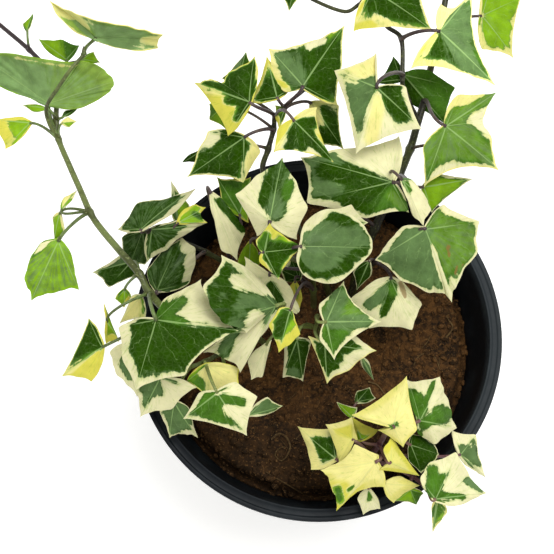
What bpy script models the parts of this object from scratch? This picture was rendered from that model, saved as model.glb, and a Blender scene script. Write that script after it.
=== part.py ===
"""A potted ivy with waxy, cream-edged leaves, in a round plastic nursery pot.

The origin is the middle of the pot's underside. Z is up, X runs to the right and Y to the back.
The pot and its soil are turned. Each shoot is one piece: its stem, leaf stalks and leaf blades are
made one by one and joined. A shoot stands in a plain hole in the soil.
"""
import math
from collections import namedtuple

import bmesh
import bpy
from mathutils import Vector, noise

MM = 0.001

# Pot
POT_RADIUS = 0.100
POT_HEIGHT = 0.155
POT_BASE_RADIUS = 0.072
POT_WALL = 0.0022
RIM_WIDTH = 0.006
RIM_SKIRT = 0.006
FLOOR_THICKNESS = 0.004
FOOT_RECESS = 0.002
FOOT_DISC = 0.036
FOOT_RING = 0.060
DRAIN_HOLES = 6
DRAIN_RADIUS = 0.005
DRAIN_CIRCLE = 0.048
POT_STEPS = 36
HOLE_SIDES = 12
MERGE = 0.000001

# Soil
SOIL_DEPTH = 0.030
SOIL_DIP = 0.009
SOIL_SHOULDER = 0.085
SOIL_EDGE = 0.003
SOIL_RINGS = 4
SOIL_LUMP = 0.0022
SOIL_LUMP_LENGTH = 0.016
HOLE_DEPTH = 0.022
CLEARANCE = 0.0003

# Leaves and stalks
BLADE_THICKNESS = 0.0009
BLADE_ARCH = 0.07
EDGE_SAG = 0.10
HEEL_BULGE = 0.10
HEEL = 0.0015
WIDE_ANGLE = math.radians(60)
SMALL_BLADE = 0.020
PLAIN_BLADE = 0.034
STALK_RADIUS = 0.0011
STALK_END_RADIUS = 0.0006
STALK_RISE = 0.25
STALK_LEAN = 0.15
STALK_ARRIVAL = 0.35
STALK_DROOP = 0.10
EDGE_STEPS = 2
STEM_STEPS = 1
STALK_STEPS = 3

# Places on the shoots are (right, back, up) in millimetres from the middle of the pot's rim. Right and
# back are taken on the rim's plane, where the place is seen from EYE, and up is its height over the rim.
EYE = Vector((-0.022, -0.124, 0.580))
RIM_MIDDLE = Vector((0, 0, POT_HEIGHT))

Route = namedtuple("Route", "base_radius tip_radius places")
Leaf = namedtuple("Leaf", "name joint foot tips rounded under")
Shoot = namedtuple("Shoot", "name hole routes leaves")


def route(base_radius, tip_radius, *places):
    """A stem or branch: its radius at both ends in millimetres and the places it runs through."""
    return Route(base_radius * MM, tip_radius * MM, places)


def leaf(name, joint, foot, *tips, rounded=False, under=False):
    """A leaf: the route and place its stalk leaves, its blade's foot, and the tips round the blade.

    A rounded blade has a smooth edge through its tips. An under blade shows its underside to EYE.
    """
    return Leaf(name, joint, foot, tips, rounded, under)


SHOOTS = (
    Shoot(
        name="shoot_right_back",
        hole=(21, 27),
        routes=(
            route(2.6, 1.6, (23, 37, -6), (33, 60, 16), (42, 79, 30), (47, 90, 35), (54, 107, 40),
                  (58, 120, 45), (63, 137, 49), (67, 155, 51), (74, 182, 55), (78, 202, 58),
                  (81, 215, 59)),
            route(1.4, 0.9, (58, 120, 45), (58, 127, 49), (54, 136, 54), (51, 146, 61),
                  (51, 153, 65), (51, 176, 70), (43, 184, 74), (35, 194, 74), (28, 199, 73),
                  (18, 194, 70), (-1, 202, 68), (-10, 210, 65)),
        ),
        leaves=(
            leaf("h8", (0, 4), (78, 109, 49), (69, 97, 42), (83, 97, 38), (95, 109, 40),
                 (87, 121, 46)),
            leaf("h1", (0, 1), (20, 76, 30), (10, 86, 24), (23, 96, 22), (40, 90, 22),
                 (37, 74, 27)),
            leaf("t7", (0, 10), (83, 222, 62), (75, 227, 59), (84, 242, 59), (92, 224, 61)),
            leaf("t1", (1, 8), (35, 208, 81), (23, 181, 73), (70, 181, 84), (63, 222, 78),
                 (42, 227, 76)),
            leaf("t2", (1, 5), (74, 181, 84), (56, 157, 73), (81, 156, 77), (105, 146, 76),
                 (95, 170, 80), (95, 207, 81), (83, 196, 81), (75, 199, 78)),
            leaf("t3", (0, 8), (99, 191, 73), (98, 169, 68), (116, 164, 65), (123, 203, 68),
                 (106, 216, 70)),
            leaf("t4", (1, 2), (52, 153, 54), (55, 135, 46), (75, 122, 46), (82, 145, 51),
                 (67, 156, 54)),
            leaf("t5", (1, 4), (50, 150, 62), (36, 148, 57), (46, 165, 59)),
            leaf("t6", (1, 11), (-12, 210, 65), (-19, 204, 62), (-15, 194, 59), (-9, 203, 62)),
            leaf("r1", (0, 6), (75, 121, 78), (61, 108, 73), (61, 84, 62), (82, 96, 66),
                 (104, 94, 65), (101, 115, 70), (96, 124, 72), (105, 142, 68), (83, 141, 70)),
            leaf("r2", (0, 3), (61, 84, 57), (65, 69, 49), (89, 89, 51), (70, 92, 54)),
            leaf("c1", (1, 4), (36, 145, 97), (53, 146, 92), (61, 119, 84), (23, 104, 81),
                 (11, 156, 89), (36, 167, 86)),
            leaf("c5", (0, 3), (43, 87, 73), (52, 69, 68), (28, 65, 62), (-6, 74, 59),
                 (-9, 102, 62), (11, 107, 68), (48, 115, 68)),
            leaf("c7", (0, 2), (49, 88, 81), (52, 76, 76), (54, 67, 70), (60, 61, 68), (65, 70, 68),
                 (61, 80, 73), (55, 88, 77)),
        ),
    ),
    Shoot(
        name="shoot_middle_back",
        hole=(9, 24),
        routes=(
            route(2.1, 1.1, (3, 33, -2), (-9, 58, 22), (-22, 79, 38), (-30, 94, 46), (-27, 107, 51),
                  (-24, 119, 57), (-23, 127, 63), (-18, 132, 68)),
        ),
        leaves=(
            leaf("h9", (0, 7), (-2, 151, 62), (-15, 156, 58), (-10, 167, 55), (5, 168, 54),
                 (11, 150, 57)),
            leaf("h3", (0, 2), (-24, 72, 62), (-36, 73, 58), (-36, 86, 54), (-23, 93, 51),
                 (-15, 82, 57)),
            leaf("m1", (0, 6), (-38, 136, 81), (-50, 115, 70), (-70, 148, 68), (-61, 151, 70),
                 (-54, 148, 73), (-51, 155, 73), (-35, 165, 76)),
            leaf("m2", (0, 7), (-22, 139, 81), (-38, 136, 73), (-28, 165, 72), (-14, 145, 76)),
            leaf("m3", (0, 7), (-7, 146, 84), (-18, 142, 80), (-26, 151, 76), (-27, 170, 73),
                 (-4, 174, 77), (18, 185, 73), (16, 159, 74), (13, 134, 70)),
            leaf("m3b", (0, 7), (-2, 135, 68), (14, 134, 62), (16, 107, 51), (3, 109, 49)),
            leaf("m4", (0, 5), (-41, 114, 65), (-31, 105, 59), (-41, 86, 51), (-57, 91, 53),
                 (-73, 90, 51), (-67, 107, 57), (-62, 118, 59)),
            leaf("m5", (0, 6), (-44, 149, 62), (-54, 151, 57), (-40, 168, 57), (-37, 159, 59)),
            leaf("m6", (0, 4), (-67, 105, 46), (-67, 99, 40), (-76, 99, 38)),
            leaf("m7", (0, 5), (-54, 132, 59), (-51, 119, 54), (-61, 125, 51), (-61, 135, 54)),
            leaf("m8", (0, 7), (-18, 130, 70), (-21, 120, 68), (-23, 126, 68), (-23, 134, 70)),
            leaf("c2", (0, 6), (-12, 124, 94), (-22, 119, 90), (-24, 105, 86), (-7, 105, 88),
                 (10, 99, 80), (2, 118, 85), (1, 133, 89)),
        ),
    ),
    Shoot(
        name="shoot_long_left",
        hole=(-31, 10),
        routes=(
            route(2.2, 1.2, (-40, 6, -8), (-60, 6, 16), (-79, 10, 32), (-92, 22, 42), (-98, 33, 45),
                  (-110, 47, 43), (-121, 60, 40), (-127, 69, 39), (-133, 82, 36), (-140, 97, 34),
                  (-147, 113, 32), (-149, 125, 32), (-150, 139, 30), (-156, 156, 24),
                  (-167, 169, 20), (-185, 185, 15), (-195, 194, 12)),
            route(1.1, 0.9, (-147, 113, 32), (-153, 123, 38), (-155, 133, 47), (-149, 145, 59),
                  (-142, 157, 69), (-135, 166, 69)),
        ),
        leaves=(
            leaf("h4", (0, 2), (-83, -4, 40), (-91, 1, 38), (-93, -13, 32), (-81, -20, 30),
                 (-66, -9, 34), (-71, 1, 38)),
            leaf("l8", (0, 16), (-200, 198, 14), (-204, 187, 11), (-216, 203, 11), (-205, 211, 14)),
            leaf("d1", (0, 3), (-88, 7, 76), (-83, 20, 70), (-64, 30, 45), (-43, 1, 68),
                 (-70, -19, 62), (-71, -24, 58), (-98, -32, 51), (-106, -15, 57), (-109, 3, 62),
                 (-101, 7, 69)),
            leaf("e1", (0, 2), (-117, -8, 57), (-122, -27, 43), (-138, -24, 46), (-125, 8, 54)),
            leaf("e2", (0, 3), (-115, 6, 46), (-117, 16, 46), (-108, -5, 38), (-115, -6, 38)),
            leaf("e3", (0, 4), (-106, 24, 35), (-102, 20, 30), (-106, 14, 27), (-111, 19, 30)),
            leaf("e4", (0, 3), (-97, 20, 40), (-94, 8, 35), (-108, 5, 32), (-102, 21, 38)),
            leaf("f1", (0, 4), (-103, 40, 32), (-100, 32, 27), (-115, 25, 19), (-124, 34, 19),
                 (-109, 44, 27)),
            leaf("l5", (0, 7), (-144, 52, 30), (-136, 44, 24), (-131, 24, 8), (-145, 22, 7),
                 (-157, 18, 5), (-162, 30, 11), (-159, 43, 19), (-154, 51, 26)),
            leaf("n1", (0, 7), (-144, 68, 32), (-141, 55, 24), (-146, 52, 22), (-148, 66, 27)),
            leaf("n2", (0, 7), (-143, 71, 34), (-142, 78, 32), (-135, 82, 32)),
            leaf("l4", (0, 10), (-164, 123, 36), (-170, 127, 35), (-188, 125, 30), (-177, 107, 27)),
            leaf("b1", (0, 10), (-145, 123, 35), (-141, 120, 34), (-137, 124, 34), (-142, 127, 35)),
            leaf("b2", (0, 11), (-145, 127, 34), (-137, 132, 32), (-144, 131, 34)),
            leaf("b3", (0, 11), (-155, 132, 35), (-163, 130, 34), (-169, 134, 34)),
            leaf("l2", (0, 10), (-154, 135, 36), (-166, 139, 39), (-179, 144, 43), (-193, 153, 43),
                 (-194, 164, 43), (-181, 167, 49), (-157, 163, 54), (-141, 161, 55),
                 (-135, 162, 55), (-125, 158, 54), (-117, 149, 51), (-121, 141, 47),
                 (-137, 132, 40), rounded=True, under=True),
            leaf("l1", (1, 5), (-128, 177, 58), (-157, 201, 46), (-136, 191, 70), (-110, 185, 74),
                 (-88, 179, 63), (-91, 170, 53), under=True),
            leaf("l3", (0, 13), (-145, 163, 27), (-162, 176, 24), (-148, 176, 27), (-138, 172, 28)),
            leaf("l7", (0, 13), (-135, 163, 28), (-129, 168, 30), (-125, 161, 30)),
            leaf("l6", (0, 14), (-169, 182, 24), (-172, 186, 24), (-166, 193, 26)),
        ),
    ),
    Shoot(
        name="shoot_left",
        hole=(-27, -3),
        routes=(
            route(2.0, 1.0, (-33, -3, -6), (-42, -4, 14), (-52, -11, 27), (-61, -16, 35),
                  (-69, -19, 38)),
        ),
        leaves=(
            leaf("h5", (0, 1), (-45, 8, 27), (-54, 19, 23), (-43, 27, 22), (-30, 16, 23),
                 (-37, -4, 24), (-51, -4, 23)),
            leaf("d2", (0, 1), (-23, 15, 62), (-53, 44, 65), (-64, 26, 72), (-59, 14, 77),
                 (-52, 5, 77), (-39, 0, 63), (-51, -2, 57), (-62, -11, 43), (-51, -15, 45),
                 (-42, -22, 45), (-33, -4, 54)),
            leaf("d3", (0, 3), (-54, -33, 57), (-44, -27, 54), (-32, -35, 51), (-38, -56, 43),
                 (-72, -47, 46), (-64, -33, 51)),
            leaf("d4", (0, 2), (-37, -45, 30), (-27, -35, 27), (-19, -40, 22)),
            leaf("d5", (0, 3), (-60, -18, 46), (-42, -20, 40), (-42, -30, 38), (-60, -35, 35),
                 (-71, -27, 38)),
            leaf("d6", (0, 4), (-85, -25, 40), (-65, -30, 38), (-78, -42, 27), (-95, -46, 22),
                 (-98, -31, 30)),
            leaf("d7", (0, 4), (-77, -38, 27), (-69, -41, 24), (-64, -57, 11), (-72, -55, 11),
                 (-79, -57, 8), (-85, -43, 19)),
            leaf("d8", (0, 4), (-103, -7, 40), (-97, -35, 24), (-109, -23, 24), (-113, -11, 30)),
        ),
    ),
    Shoot(
        name="shoot_left_back",
        hole=(-19, 22),
        routes=(
            route(1.9, 1.0, (-30, 25, -12), (-47, 37, 0), (-62, 46, 11), (-76, 52, 19),
                  (-88, 55, 27), (-94, 58, 35)),
        ),
        leaves=(
            leaf("f2", (0, 5), (-98, 59, 46), (-111, 59, 38), (-101, 75, 40), (-68, 83, 35)),
            leaf("f3", (0, 5), (-97, 58, 30), (-109, 54, 24), (-108, 46, 19), (-103, 39, 16),
                 (-95, 38, 19), (-88, 51, 24)),
            leaf("f4", (0, 4), (-92, 59, 36), (-94, 40, 23), (-83, 47, 27), (-73, 56, 34),
                 (-61, 63, 38), (-68, 69, 39), (-80, 63, 39)),
            leaf("f5", (0, 3), (-77, 62, 22), (-81, 67, 19), (-82, 88, 11), (-71, 73, 16)),
            leaf("f6", (0, 2), (-88, 24, 22), (-70, 28, 16), (-67, 39, 19), (-67, 49, 22),
                 (-75, 55, 24), (-86, 47, 20), (-94, 36, 18)),
            leaf("f7", (0, 3), (-77, 63, 40), (-69, 63, 39), (-61, 63, 39), (-65, 68, 40),
                 (-62, 72, 40), (-68, 74, 40), (-74, 71, 40)),
            leaf("g1", (0, 1), (-59, 80, 51), (-49, 72, 50), (-39, 58, 46), (-44, 41, 40),
                 (-53, 46, 40), (-56, 63, 46)),
            leaf("g2", (0, 1), (-43, 68, 43), (-53, 74, 40), (-56, 90, 38), (-37, 90, 38),
                 (-38, 63, 43)),
        ),
    ),
    Shoot(
        name="shoot_centre",
        hole=(-1, 22),
        routes=(
            route(2.0, 1.1, (-2, 24, 7), (-3, 34, 32), (-9, 40, 51), (-18, 44, 65), (-23, 53, 73)),
        ),
        leaves=(
            leaf("h2", (0, 1), (8, 40, 51), (-2, 44, 47), (7, 58, 43), (22, 53, 45), (20, 38, 49)),
            leaf("c3", (0, 4), (-26, 64, 89), (-11, 53, 78), (-4, 72, 81), (-11, 88, 84),
                 (-19, 102, 81), (-34, 91, 84), (-46, 80, 82), (-33, 55, 77)),
            leaf("c8", (0, 2), (-8, 49, 86), (-11, 40, 84), (-5, 31, 78), (10, 28, 76),
                 (22, 37, 76), (31, 48, 76), (25, 63, 78), (8, 71, 81), (-6, 63, 84), rounded=True),
            leaf("c9", (0, 3), (-29, 46, 88), (-32, 40, 84), (-21, 30, 77), (-16, 40, 81),
                 (-7, 49, 81), (-20, 57, 90), (-26, 63, 99), (-34, 53, 90)),
            leaf("c10", (0, 1), (12, 60, 70), (29, 63, 65), (20, 74, 68), (10, 71, 70)),
            leaf("c14", (0, 0), (-15, 12, 70), (-12, 6, 68), (-9, -1, 63), (-15, -7, 62),
                 (-21, -11, 61), (-24, -2, 63), (-27, 4, 66), (-21, 14, 70)),
            leaf("c15", (0, 1), (-26, 32, 51), (-31, 37, 53), (-40, 43, 51), (-41, 32, 45),
                 (-27, 17, 36), (-11, 10, 34), (-9, 12, 36), (-14, 25, 46), (-17, 29, 49)),
            leaf("c18", (0, 0), (-10, 31, 32), (-8, 40, 35), (-15, 44, 36), (-21, 36, 35),
                 (-18, 29, 32)),
            leaf("c19", (0, 0), (-12, 28, 36), (-16, 21, 30), (-10, 12, 24), (-8, 19, 30),
                 (-9, 25, 34)),
            leaf("g3", (0, 1), (-37, 51, 43), (-44, 37, 32), (-38, 28, 23), (-31, 40, 34)),
        ),
    ),
    Shoot(
        name="shoot_front",
        hole=(2, 3),
        routes=(
            route(1.8, 1.0, (0, 2, -5), (0, 6, 20), (0, 9, 38)),
        ),
        leaves=(
            leaf("c11", (0, 2), (5, 6, 68), (1, 16, 63), (15, 29, 58), (19, 18, 62), (35, 6, 57),
                 (19, -3, 59), (9, -15, 57), (1, -4, 62)),
            leaf("c12", (0, 1), (4, -6, 51), (-5, -2, 49), (5, -28, 38), (17, -21, 39),
                 (32, -10, 40), (20, -1, 46)),
            leaf("c13", (0, 0), (-11, -4, 35), (-3, -5, 32), (-8, -27, 22), (-19, -25, 22),
                 (-18, -6, 30)),
            leaf("c16", (0, 0), (-28, -7, 30), (-25, -4, 30), (-30, -25, 16), (-36, -26, 16),
                 (-38, -16, 22)),
            leaf("c17", (0, 0), (24, -14, 27), (25, -20, 20), (30, -26, 16), (28, -17, 22)),
        ),
    ),
    Shoot(
        name="shoot_right",
        hole=(16, 14),
        routes=(
            route(2.0, 1.1, (16, 17, -12), (22, 29, 8), (32, 40, 30), (44, 49, 46), (53, 55, 57)),
        ),
        leaves=(
            leaf("h6", (0, 2), (62, 51, 35), (52, 40, 30), (66, 30, 24), (83, 43, 27),
                 (78, 58, 32)),
            leaf("r3", (0, 4), (61, 59, 65), (48, 61, 61), (40, 52, 57), (32, 41, 51), (46, 29, 46),
                 (61, 22, 43), (70, 22, 42), (74, 17, 39), (78, 28, 45), (90, 45, 46), (92, 64, 51),
                 (81, 68, 57), (72, 74, 59)),
            leaf("r4", (0, 2), (41, 30, 40), (31, 29, 38), (18, 19, 30), (27, 2, 24), (52, 1, 22),
                 (58, 16, 27), (48, 28, 36)),
            leaf("r5", (0, 2), (29, 40, 40), (30, 32, 35), (22, 24, 30), (20, 34, 32)),
        ),
    ),
    Shoot(
        name="shoot_young",
        hole=(23, -71),
        routes=(
            route(1.9, 1.3, (23, -72, -10), (27, -67, 8), (32, -61, 22), (37, -53, 32),
                  (41, -50, 39)),
            route(1.2, 1.0, (27, -67, 8), (37, -72, 8), (49, -77, 8), (57, -84, 18)),
        ),
        leaves=(
            leaf("y1", (0, 4), (40, -51, 51), (18, -45, 43), (48, -24, 40), (53, -53, 46),
                 (45, -62, 40), (32, -53, 43)),
            leaf("y2", (0, 4), (54, -48, 42), (48, -26, 32), (57, -26, 31), (66, -24, 27),
                 (70, -37, 24), (74, -52, 19), (62, -61, 24), (53, -55, 32)),
            leaf("y3", (0, 1), (30, -70, 40), (35, -83, 30), (20, -85, 24), (9, -95, 16),
                 (6, -82, 24), (1, -74, 24), (13, -69, 31), (19, -60, 35), (32, -66, 40)),
            leaf("y4", (0, 1), (18, -58, 30), (11, -71, 22), (4, -50, 22), (18, -46, 27),
                 (21, -58, 30)),
            leaf("y5", (0, 0), (9, -68, 19), (-4, -74, 11), (-11, -51, 8), (7, -52, 16)),
            leaf("y6", (0, 2), (23, -58, 27), (19, -58, 23), (18, -46, 22), (32, -53, 24)),
            leaf("y7", (0, 2), (38, -70, 43), (32, -74, 38), (53, -77, 27), (39, -56, 40),
                 (34, -63, 42)),
            leaf("y8", (0, 1), (35, -81, 30), (39, -91, 19), (53, -82, 19), (43, -77, 27)),
            leaf("y9", (0, 3), (49, -61, 28), (48, -70, 24), (54, -76, 19), (60, -72, 19),
                 (64, -66, 18), (62, -61, 19), (56, -56, 23), (50, -55, 26)),
            leaf("y10", (1, 3), (61, -89, 32), (53, -78, 30), (58, -70, 27), (73, -64, 19),
                 (88, -86, 11), (77, -91, 19)),
            leaf("y11", (0, 1), (75, -66, 14), (71, -53, 14), (84, -55, 8), (88, -78, -2),
                 (80, -73, 5)),
            leaf("y12", (1, 3), (62, -89, 24), (67, -96, 14), (59, -106, 3), (59, -95, 14)),
            leaf("y13", (0, 1), (26, -84, 19), (32, -94, 11), (23, -97, 8), (20, -89, 14)),
            leaf("y14", (1, 2), (48, -84, 16), (55, -86, 12), (51, -92, 8), (40, -90, 11)),
            leaf("y15", (0, 0), (18, -46, 14), (10, -38, 11), (21, -41, 14)),
            leaf("y16", (0, 0), (21, -38, 3), (21, -32, 1), (28, -30, 0), (31, -36, 0)),
        ),
    ),
)


def seen(place):
    """The point in space of a place given as (right, back, up)."""
    right, back, up = (value * MM for value in place)
    on_rim = Vector((right, back, 0))
    return RIM_MIDDLE + EYE + (on_rim - EYE) * ((EYE.z - up) / EYE.z)


def clear_scene():
    for old in list(bpy.data.objects):
        bpy.data.objects.remove(old)


def collection(name):
    group = bpy.data.collections.new(name)
    bpy.context.scene.collection.children.link(group)
    return group


def material(name, colour, roughness):
    finish = bpy.data.materials.new(name)
    finish.use_nodes = True
    shader = finish.node_tree.nodes["Principled BSDF"]
    shader.inputs["Base Color"].default_value = (*colour, 1)
    shader.inputs["Roughness"].default_value = roughness
    shader.inputs["Metallic"].default_value = 0
    return finish


def mesh_object(name, mesh, group, finish=None):
    piece = bpy.data.objects.new(name, mesh)
    if finish:
        mesh.materials.append(finish)
    group.objects.link(piece)
    return piece


def settled(piece):
    """Replaces a piece's mesh with its evaluated one, and drops its modifiers."""
    graph = bpy.context.evaluated_depsgraph_get()
    finished = bpy.data.meshes.new_from_object(piece.evaluated_get(graph))
    finished.name = piece.name
    piece.modifiers.clear()
    piece.data = finished
    return piece


def shells(shape):
    """The separate closed surfaces in a bmesh, each as a list of its corners."""
    left = set(shape.verts)
    found = []
    for first in shape.verts:
        if first not in left:
            continue
        left.discard(first)
        shell = [first]
        for corner in shell:
            for edge in corner.link_edges:
                after = edge.other_vert(corner)
                if after in left:
                    left.discard(after)
                    shell.append(after)
        found.append(shell)
    return found


def keep_largest_shell(mesh):
    """Fills the sealed hollows and drops the loose scraps that joining leaves."""
    shape = bmesh.new()
    shape.from_mesh(mesh)
    extra = sorted(shells(shape), key=len)[:-1]
    bmesh.ops.delete(shape, geom=[corner for shell in extra for corner in shell], context="VERTS")
    shape.to_mesh(mesh)
    shape.free()


def turned(name, profile, steps, group, finish):
    """A profile of (radius, height), from the axis over the top and down its outer side, turned."""
    shape = bmesh.new()
    corners = [shape.verts.new((radius, 0, height)) for radius, height in profile]
    for upper, lower in zip(corners, corners[1:]):
        shape.edges.new((upper, lower))
    mesh = bpy.data.meshes.new(name)
    shape.to_mesh(mesh)
    shape.free()
    piece = mesh_object(name, mesh, group, finish)
    screw = piece.modifiers.new("turn", "SCREW")
    screw.steps = steps
    screw.render_steps = steps
    screw.use_merge_vertices = True
    screw.merge_threshold = MERGE
    screw.use_smooth_shade = True
    return piece


def cylinder_cutter(name, radius, bottom, top, place, group):
    bpy.ops.mesh.primitive_cylinder_add(
        vertices=HOLE_SIDES, radius=radius, depth=top - bottom, location=(*place, (top + bottom) / 2)
    )
    cutter = bpy.context.object
    cutter.name = name
    cutter.hide_render = True
    cutter.display_type = "WIRE"
    for owner in list(cutter.users_collection):
        owner.objects.unlink(cutter)
    group.objects.link(cutter)
    return cutter


def combine(piece, operation, group, solver="EXACT"):
    """Adds a Boolean with every object of a collection."""
    cut = piece.modifiers.new(operation.lower(), "BOOLEAN")
    cut.operation = operation
    cut.operand_type = "COLLECTION"
    cut.collection = group
    cut.solver = solver
    return cut


def inner_radius(height):
    """The pot's inner wall at a height, on its straight taper."""
    top = POT_RADIUS - RIM_WIDTH
    base = POT_BASE_RADIUS - POT_WALL
    return base + (top - base) * height / POT_HEIGHT


def pot(group, cutters):
    """The pot: a tapered cup with a rolled rim, a raised ring under its floor and drain holes in it."""
    edge = POT_WALL / 3
    skirt_outer = POT_RADIUS + edge
    outer_top = inner_radius(POT_HEIGHT) + POT_WALL
    profile = (
        (0, FLOOR_THICKNESS),
        (inner_radius(FLOOR_THICKNESS) - 2 * edge, FLOOR_THICKNESS),
        (inner_radius(FLOOR_THICKNESS + 2 * edge), FLOOR_THICKNESS + 2 * edge),
        (inner_radius(POT_HEIGHT - edge), POT_HEIGHT - edge),
        (inner_radius(POT_HEIGHT) + edge, POT_HEIGHT),
        (POT_RADIUS - 2 * edge, POT_HEIGHT),
        (POT_RADIUS - edge / 2, POT_HEIGHT - edge / 2),
        (POT_RADIUS, POT_HEIGHT - 2 * edge),
        (skirt_outer, POT_HEIGHT - RIM_SKIRT),
        (skirt_outer - POT_WALL, POT_HEIGHT - RIM_SKIRT),
        (POT_RADIUS - POT_WALL, POT_HEIGHT - POT_WALL),
        (outer_top + edge, POT_HEIGHT - POT_WALL),
        (outer_top - edge, POT_HEIGHT - 2 * POT_WALL),
        (POT_BASE_RADIUS, 2 * edge),
        (POT_BASE_RADIUS - 2 * edge, 0),
        (FOOT_RING, 0),
        (FOOT_RING, FOOT_RECESS),
        (FOOT_DISC, FOOT_RECESS),
        (FOOT_DISC, 0),
        (0, 0),
    )
    piece = turned("pot", profile, POT_STEPS, group, material("pot_plastic", (0.012, 0.014, 0.016), 0.35))
    for number in range(DRAIN_HOLES):
        turn = math.tau * number / DRAIN_HOLES
        place = (DRAIN_CIRCLE * math.cos(turn), DRAIN_CIRCLE * math.sin(turn))
        name = f"drain_cutter_{number + 1}"
        cylinder_cutter(name, DRAIN_RADIUS, -DRAIN_RADIUS, 2 * DRAIN_RADIUS, place, cutters)
    combine(piece, "DIFFERENCE", cutters)
    return piece


def soil(group, cutters):
    """The soil: it fills the pot to under the rim, lumpy on top, lower along the wall, with stem holes."""
    top = POT_HEIGHT - SOIL_DEPTH
    bottom = FLOOR_THICKNESS + CLEARANCE
    step = POT_WALL / 3 * 2
    profile = [(SOIL_SHOULDER * ring / SOIL_RINGS, top) for ring in range(SOIL_RINGS + 1)]
    profile += [
        (inner_radius(top) - SOIL_EDGE, top - SOIL_DIP / 2),
        (inner_radius(top - SOIL_DIP) - CLEARANCE, top - SOIL_DIP),
        (inner_radius(bottom + step) - CLEARANCE, bottom + step),
        (inner_radius(bottom) - step - CLEARANCE, bottom),
        (0, bottom),
    ]
    piece = turned("soil", profile, POT_STEPS, group, material("soil_dark", (0.045, 0.020, 0.010), 0.95))
    settled(piece)
    for corner in piece.data.vertices:
        if corner.co.z > top - SOIL_DIP / 2 - CLEARANCE:
            corner.co.z += SOIL_LUMP * noise.noise(corner.co / SOIL_LUMP_LENGTH)
    for shoot in SHOOTS:
        radius = shoot.routes[0].base_radius + CLEARANCE
        place = [value * MM for value in shoot.hole]
        cylinder_cutter(f"{shoot.name}_cutter", radius, top - HOLE_DEPTH, top + SOIL_DIP, place, cutters)
    combine(piece, "DIFFERENCE", cutters)
    return piece


def smooth(points, steps, closed=False):
    """A smooth curve through the points, as a list with so many steps from each to the next."""
    count = len(points)
    spans = count if closed else count - 1
    curve = []
    for span in range(spans):
        before, start, end, after = (
            points[(span + shift) % count] if closed else points[min(max(span + shift, 0), count - 1)]
            for shift in (-1, 0, 1, 2)
        )
        for step in range(steps):
            u = step / steps
            curve.append(
                0.5 * (2 * start + (end - before) * u
                       + (2 * before - 5 * start + 4 * end - after) * u ** 2
                       + (3 * start - before - 3 * end + after) * u ** 3)
            )
    if not closed:
        curve.append(points[-1])
    return curve


def tube(name, points, base_radius, tip_radius, resolution, group):
    """A tapered tube along the points, as a closed mesh."""
    line = bpy.data.curves.new(name, "CURVE")
    line.dimensions = "3D"
    line.bevel_depth = base_radius
    line.bevel_resolution = resolution
    line.use_fill_caps = True
    spline = line.splines.new("POLY")
    spline.points.add(len(points) - 1)
    for number, point in enumerate(points):
        share = number / (len(points) - 1)
        spline.points[number].co = (*point, 1)
        spline.points[number].radius = 1 + (tip_radius / base_radius - 1) * share
    drawn = bpy.data.objects.new(f"{name}_line", line)
    group.objects.link(drawn)
    graph = bpy.context.evaluated_depsgraph_get()
    mesh = bpy.data.meshes.new_from_object(drawn.evaluated_get(graph))
    shape = bmesh.new()
    shape.from_mesh(mesh)
    bmesh.ops.remove_doubles(shape, verts=shape.verts, dist=MERGE)
    shape.to_mesh(mesh)
    shape.free()
    piece = mesh_object(name, mesh, group)
    piece.matrix_world = drawn.matrix_world
    bpy.data.objects.remove(drawn)
    return piece


def blade_axis(foot, tips):
    """The way a blade points: from its foot to the middle of its tips."""
    middle = sum(tips, Vector()) / len(tips)
    return (middle - foot).normalized()


def blade_edge(foot, tips, rounded, steps):
    """Points round a blade's edge, from the heel behind the foot over each tip and back.

    Between two tips the edge sags towards the foot, the more the wider they lie apart. Between the heel
    and a tip it bulges away from the blade.
    """
    axis = blade_axis(foot, tips)
    heel = foot - axis * HEEL
    if rounded:
        return smooth([heel, *tips], steps, closed=True)
    edge = []
    for start, end in zip([heel, *tips], [*tips, heel]):
        far = start if end is heel else end
        along = (far - foot).normalized()
        outward = (axis.dot(along) * along - axis).normalized()
        opening = (start - foot).angle(end - foot)
        by_heel = start is heel or end is heel
        count = steps if by_heel or opening > WIDE_ANGLE / 2 else max(1, steps // 2)
        sag = EDGE_SAG * min(1, opening / WIDE_ANGLE)
        for step in range(count):
            u = step / count
            rise = 4 * u * (1 - u)
            point = start.lerp(end, u)
            if by_heel:
                point += outward * HEEL_BULGE * (far - foot).length * rise
            else:
                point = foot + (point - foot) * (1 - sag * rise)
            edge.append(point)
    return edge


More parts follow.
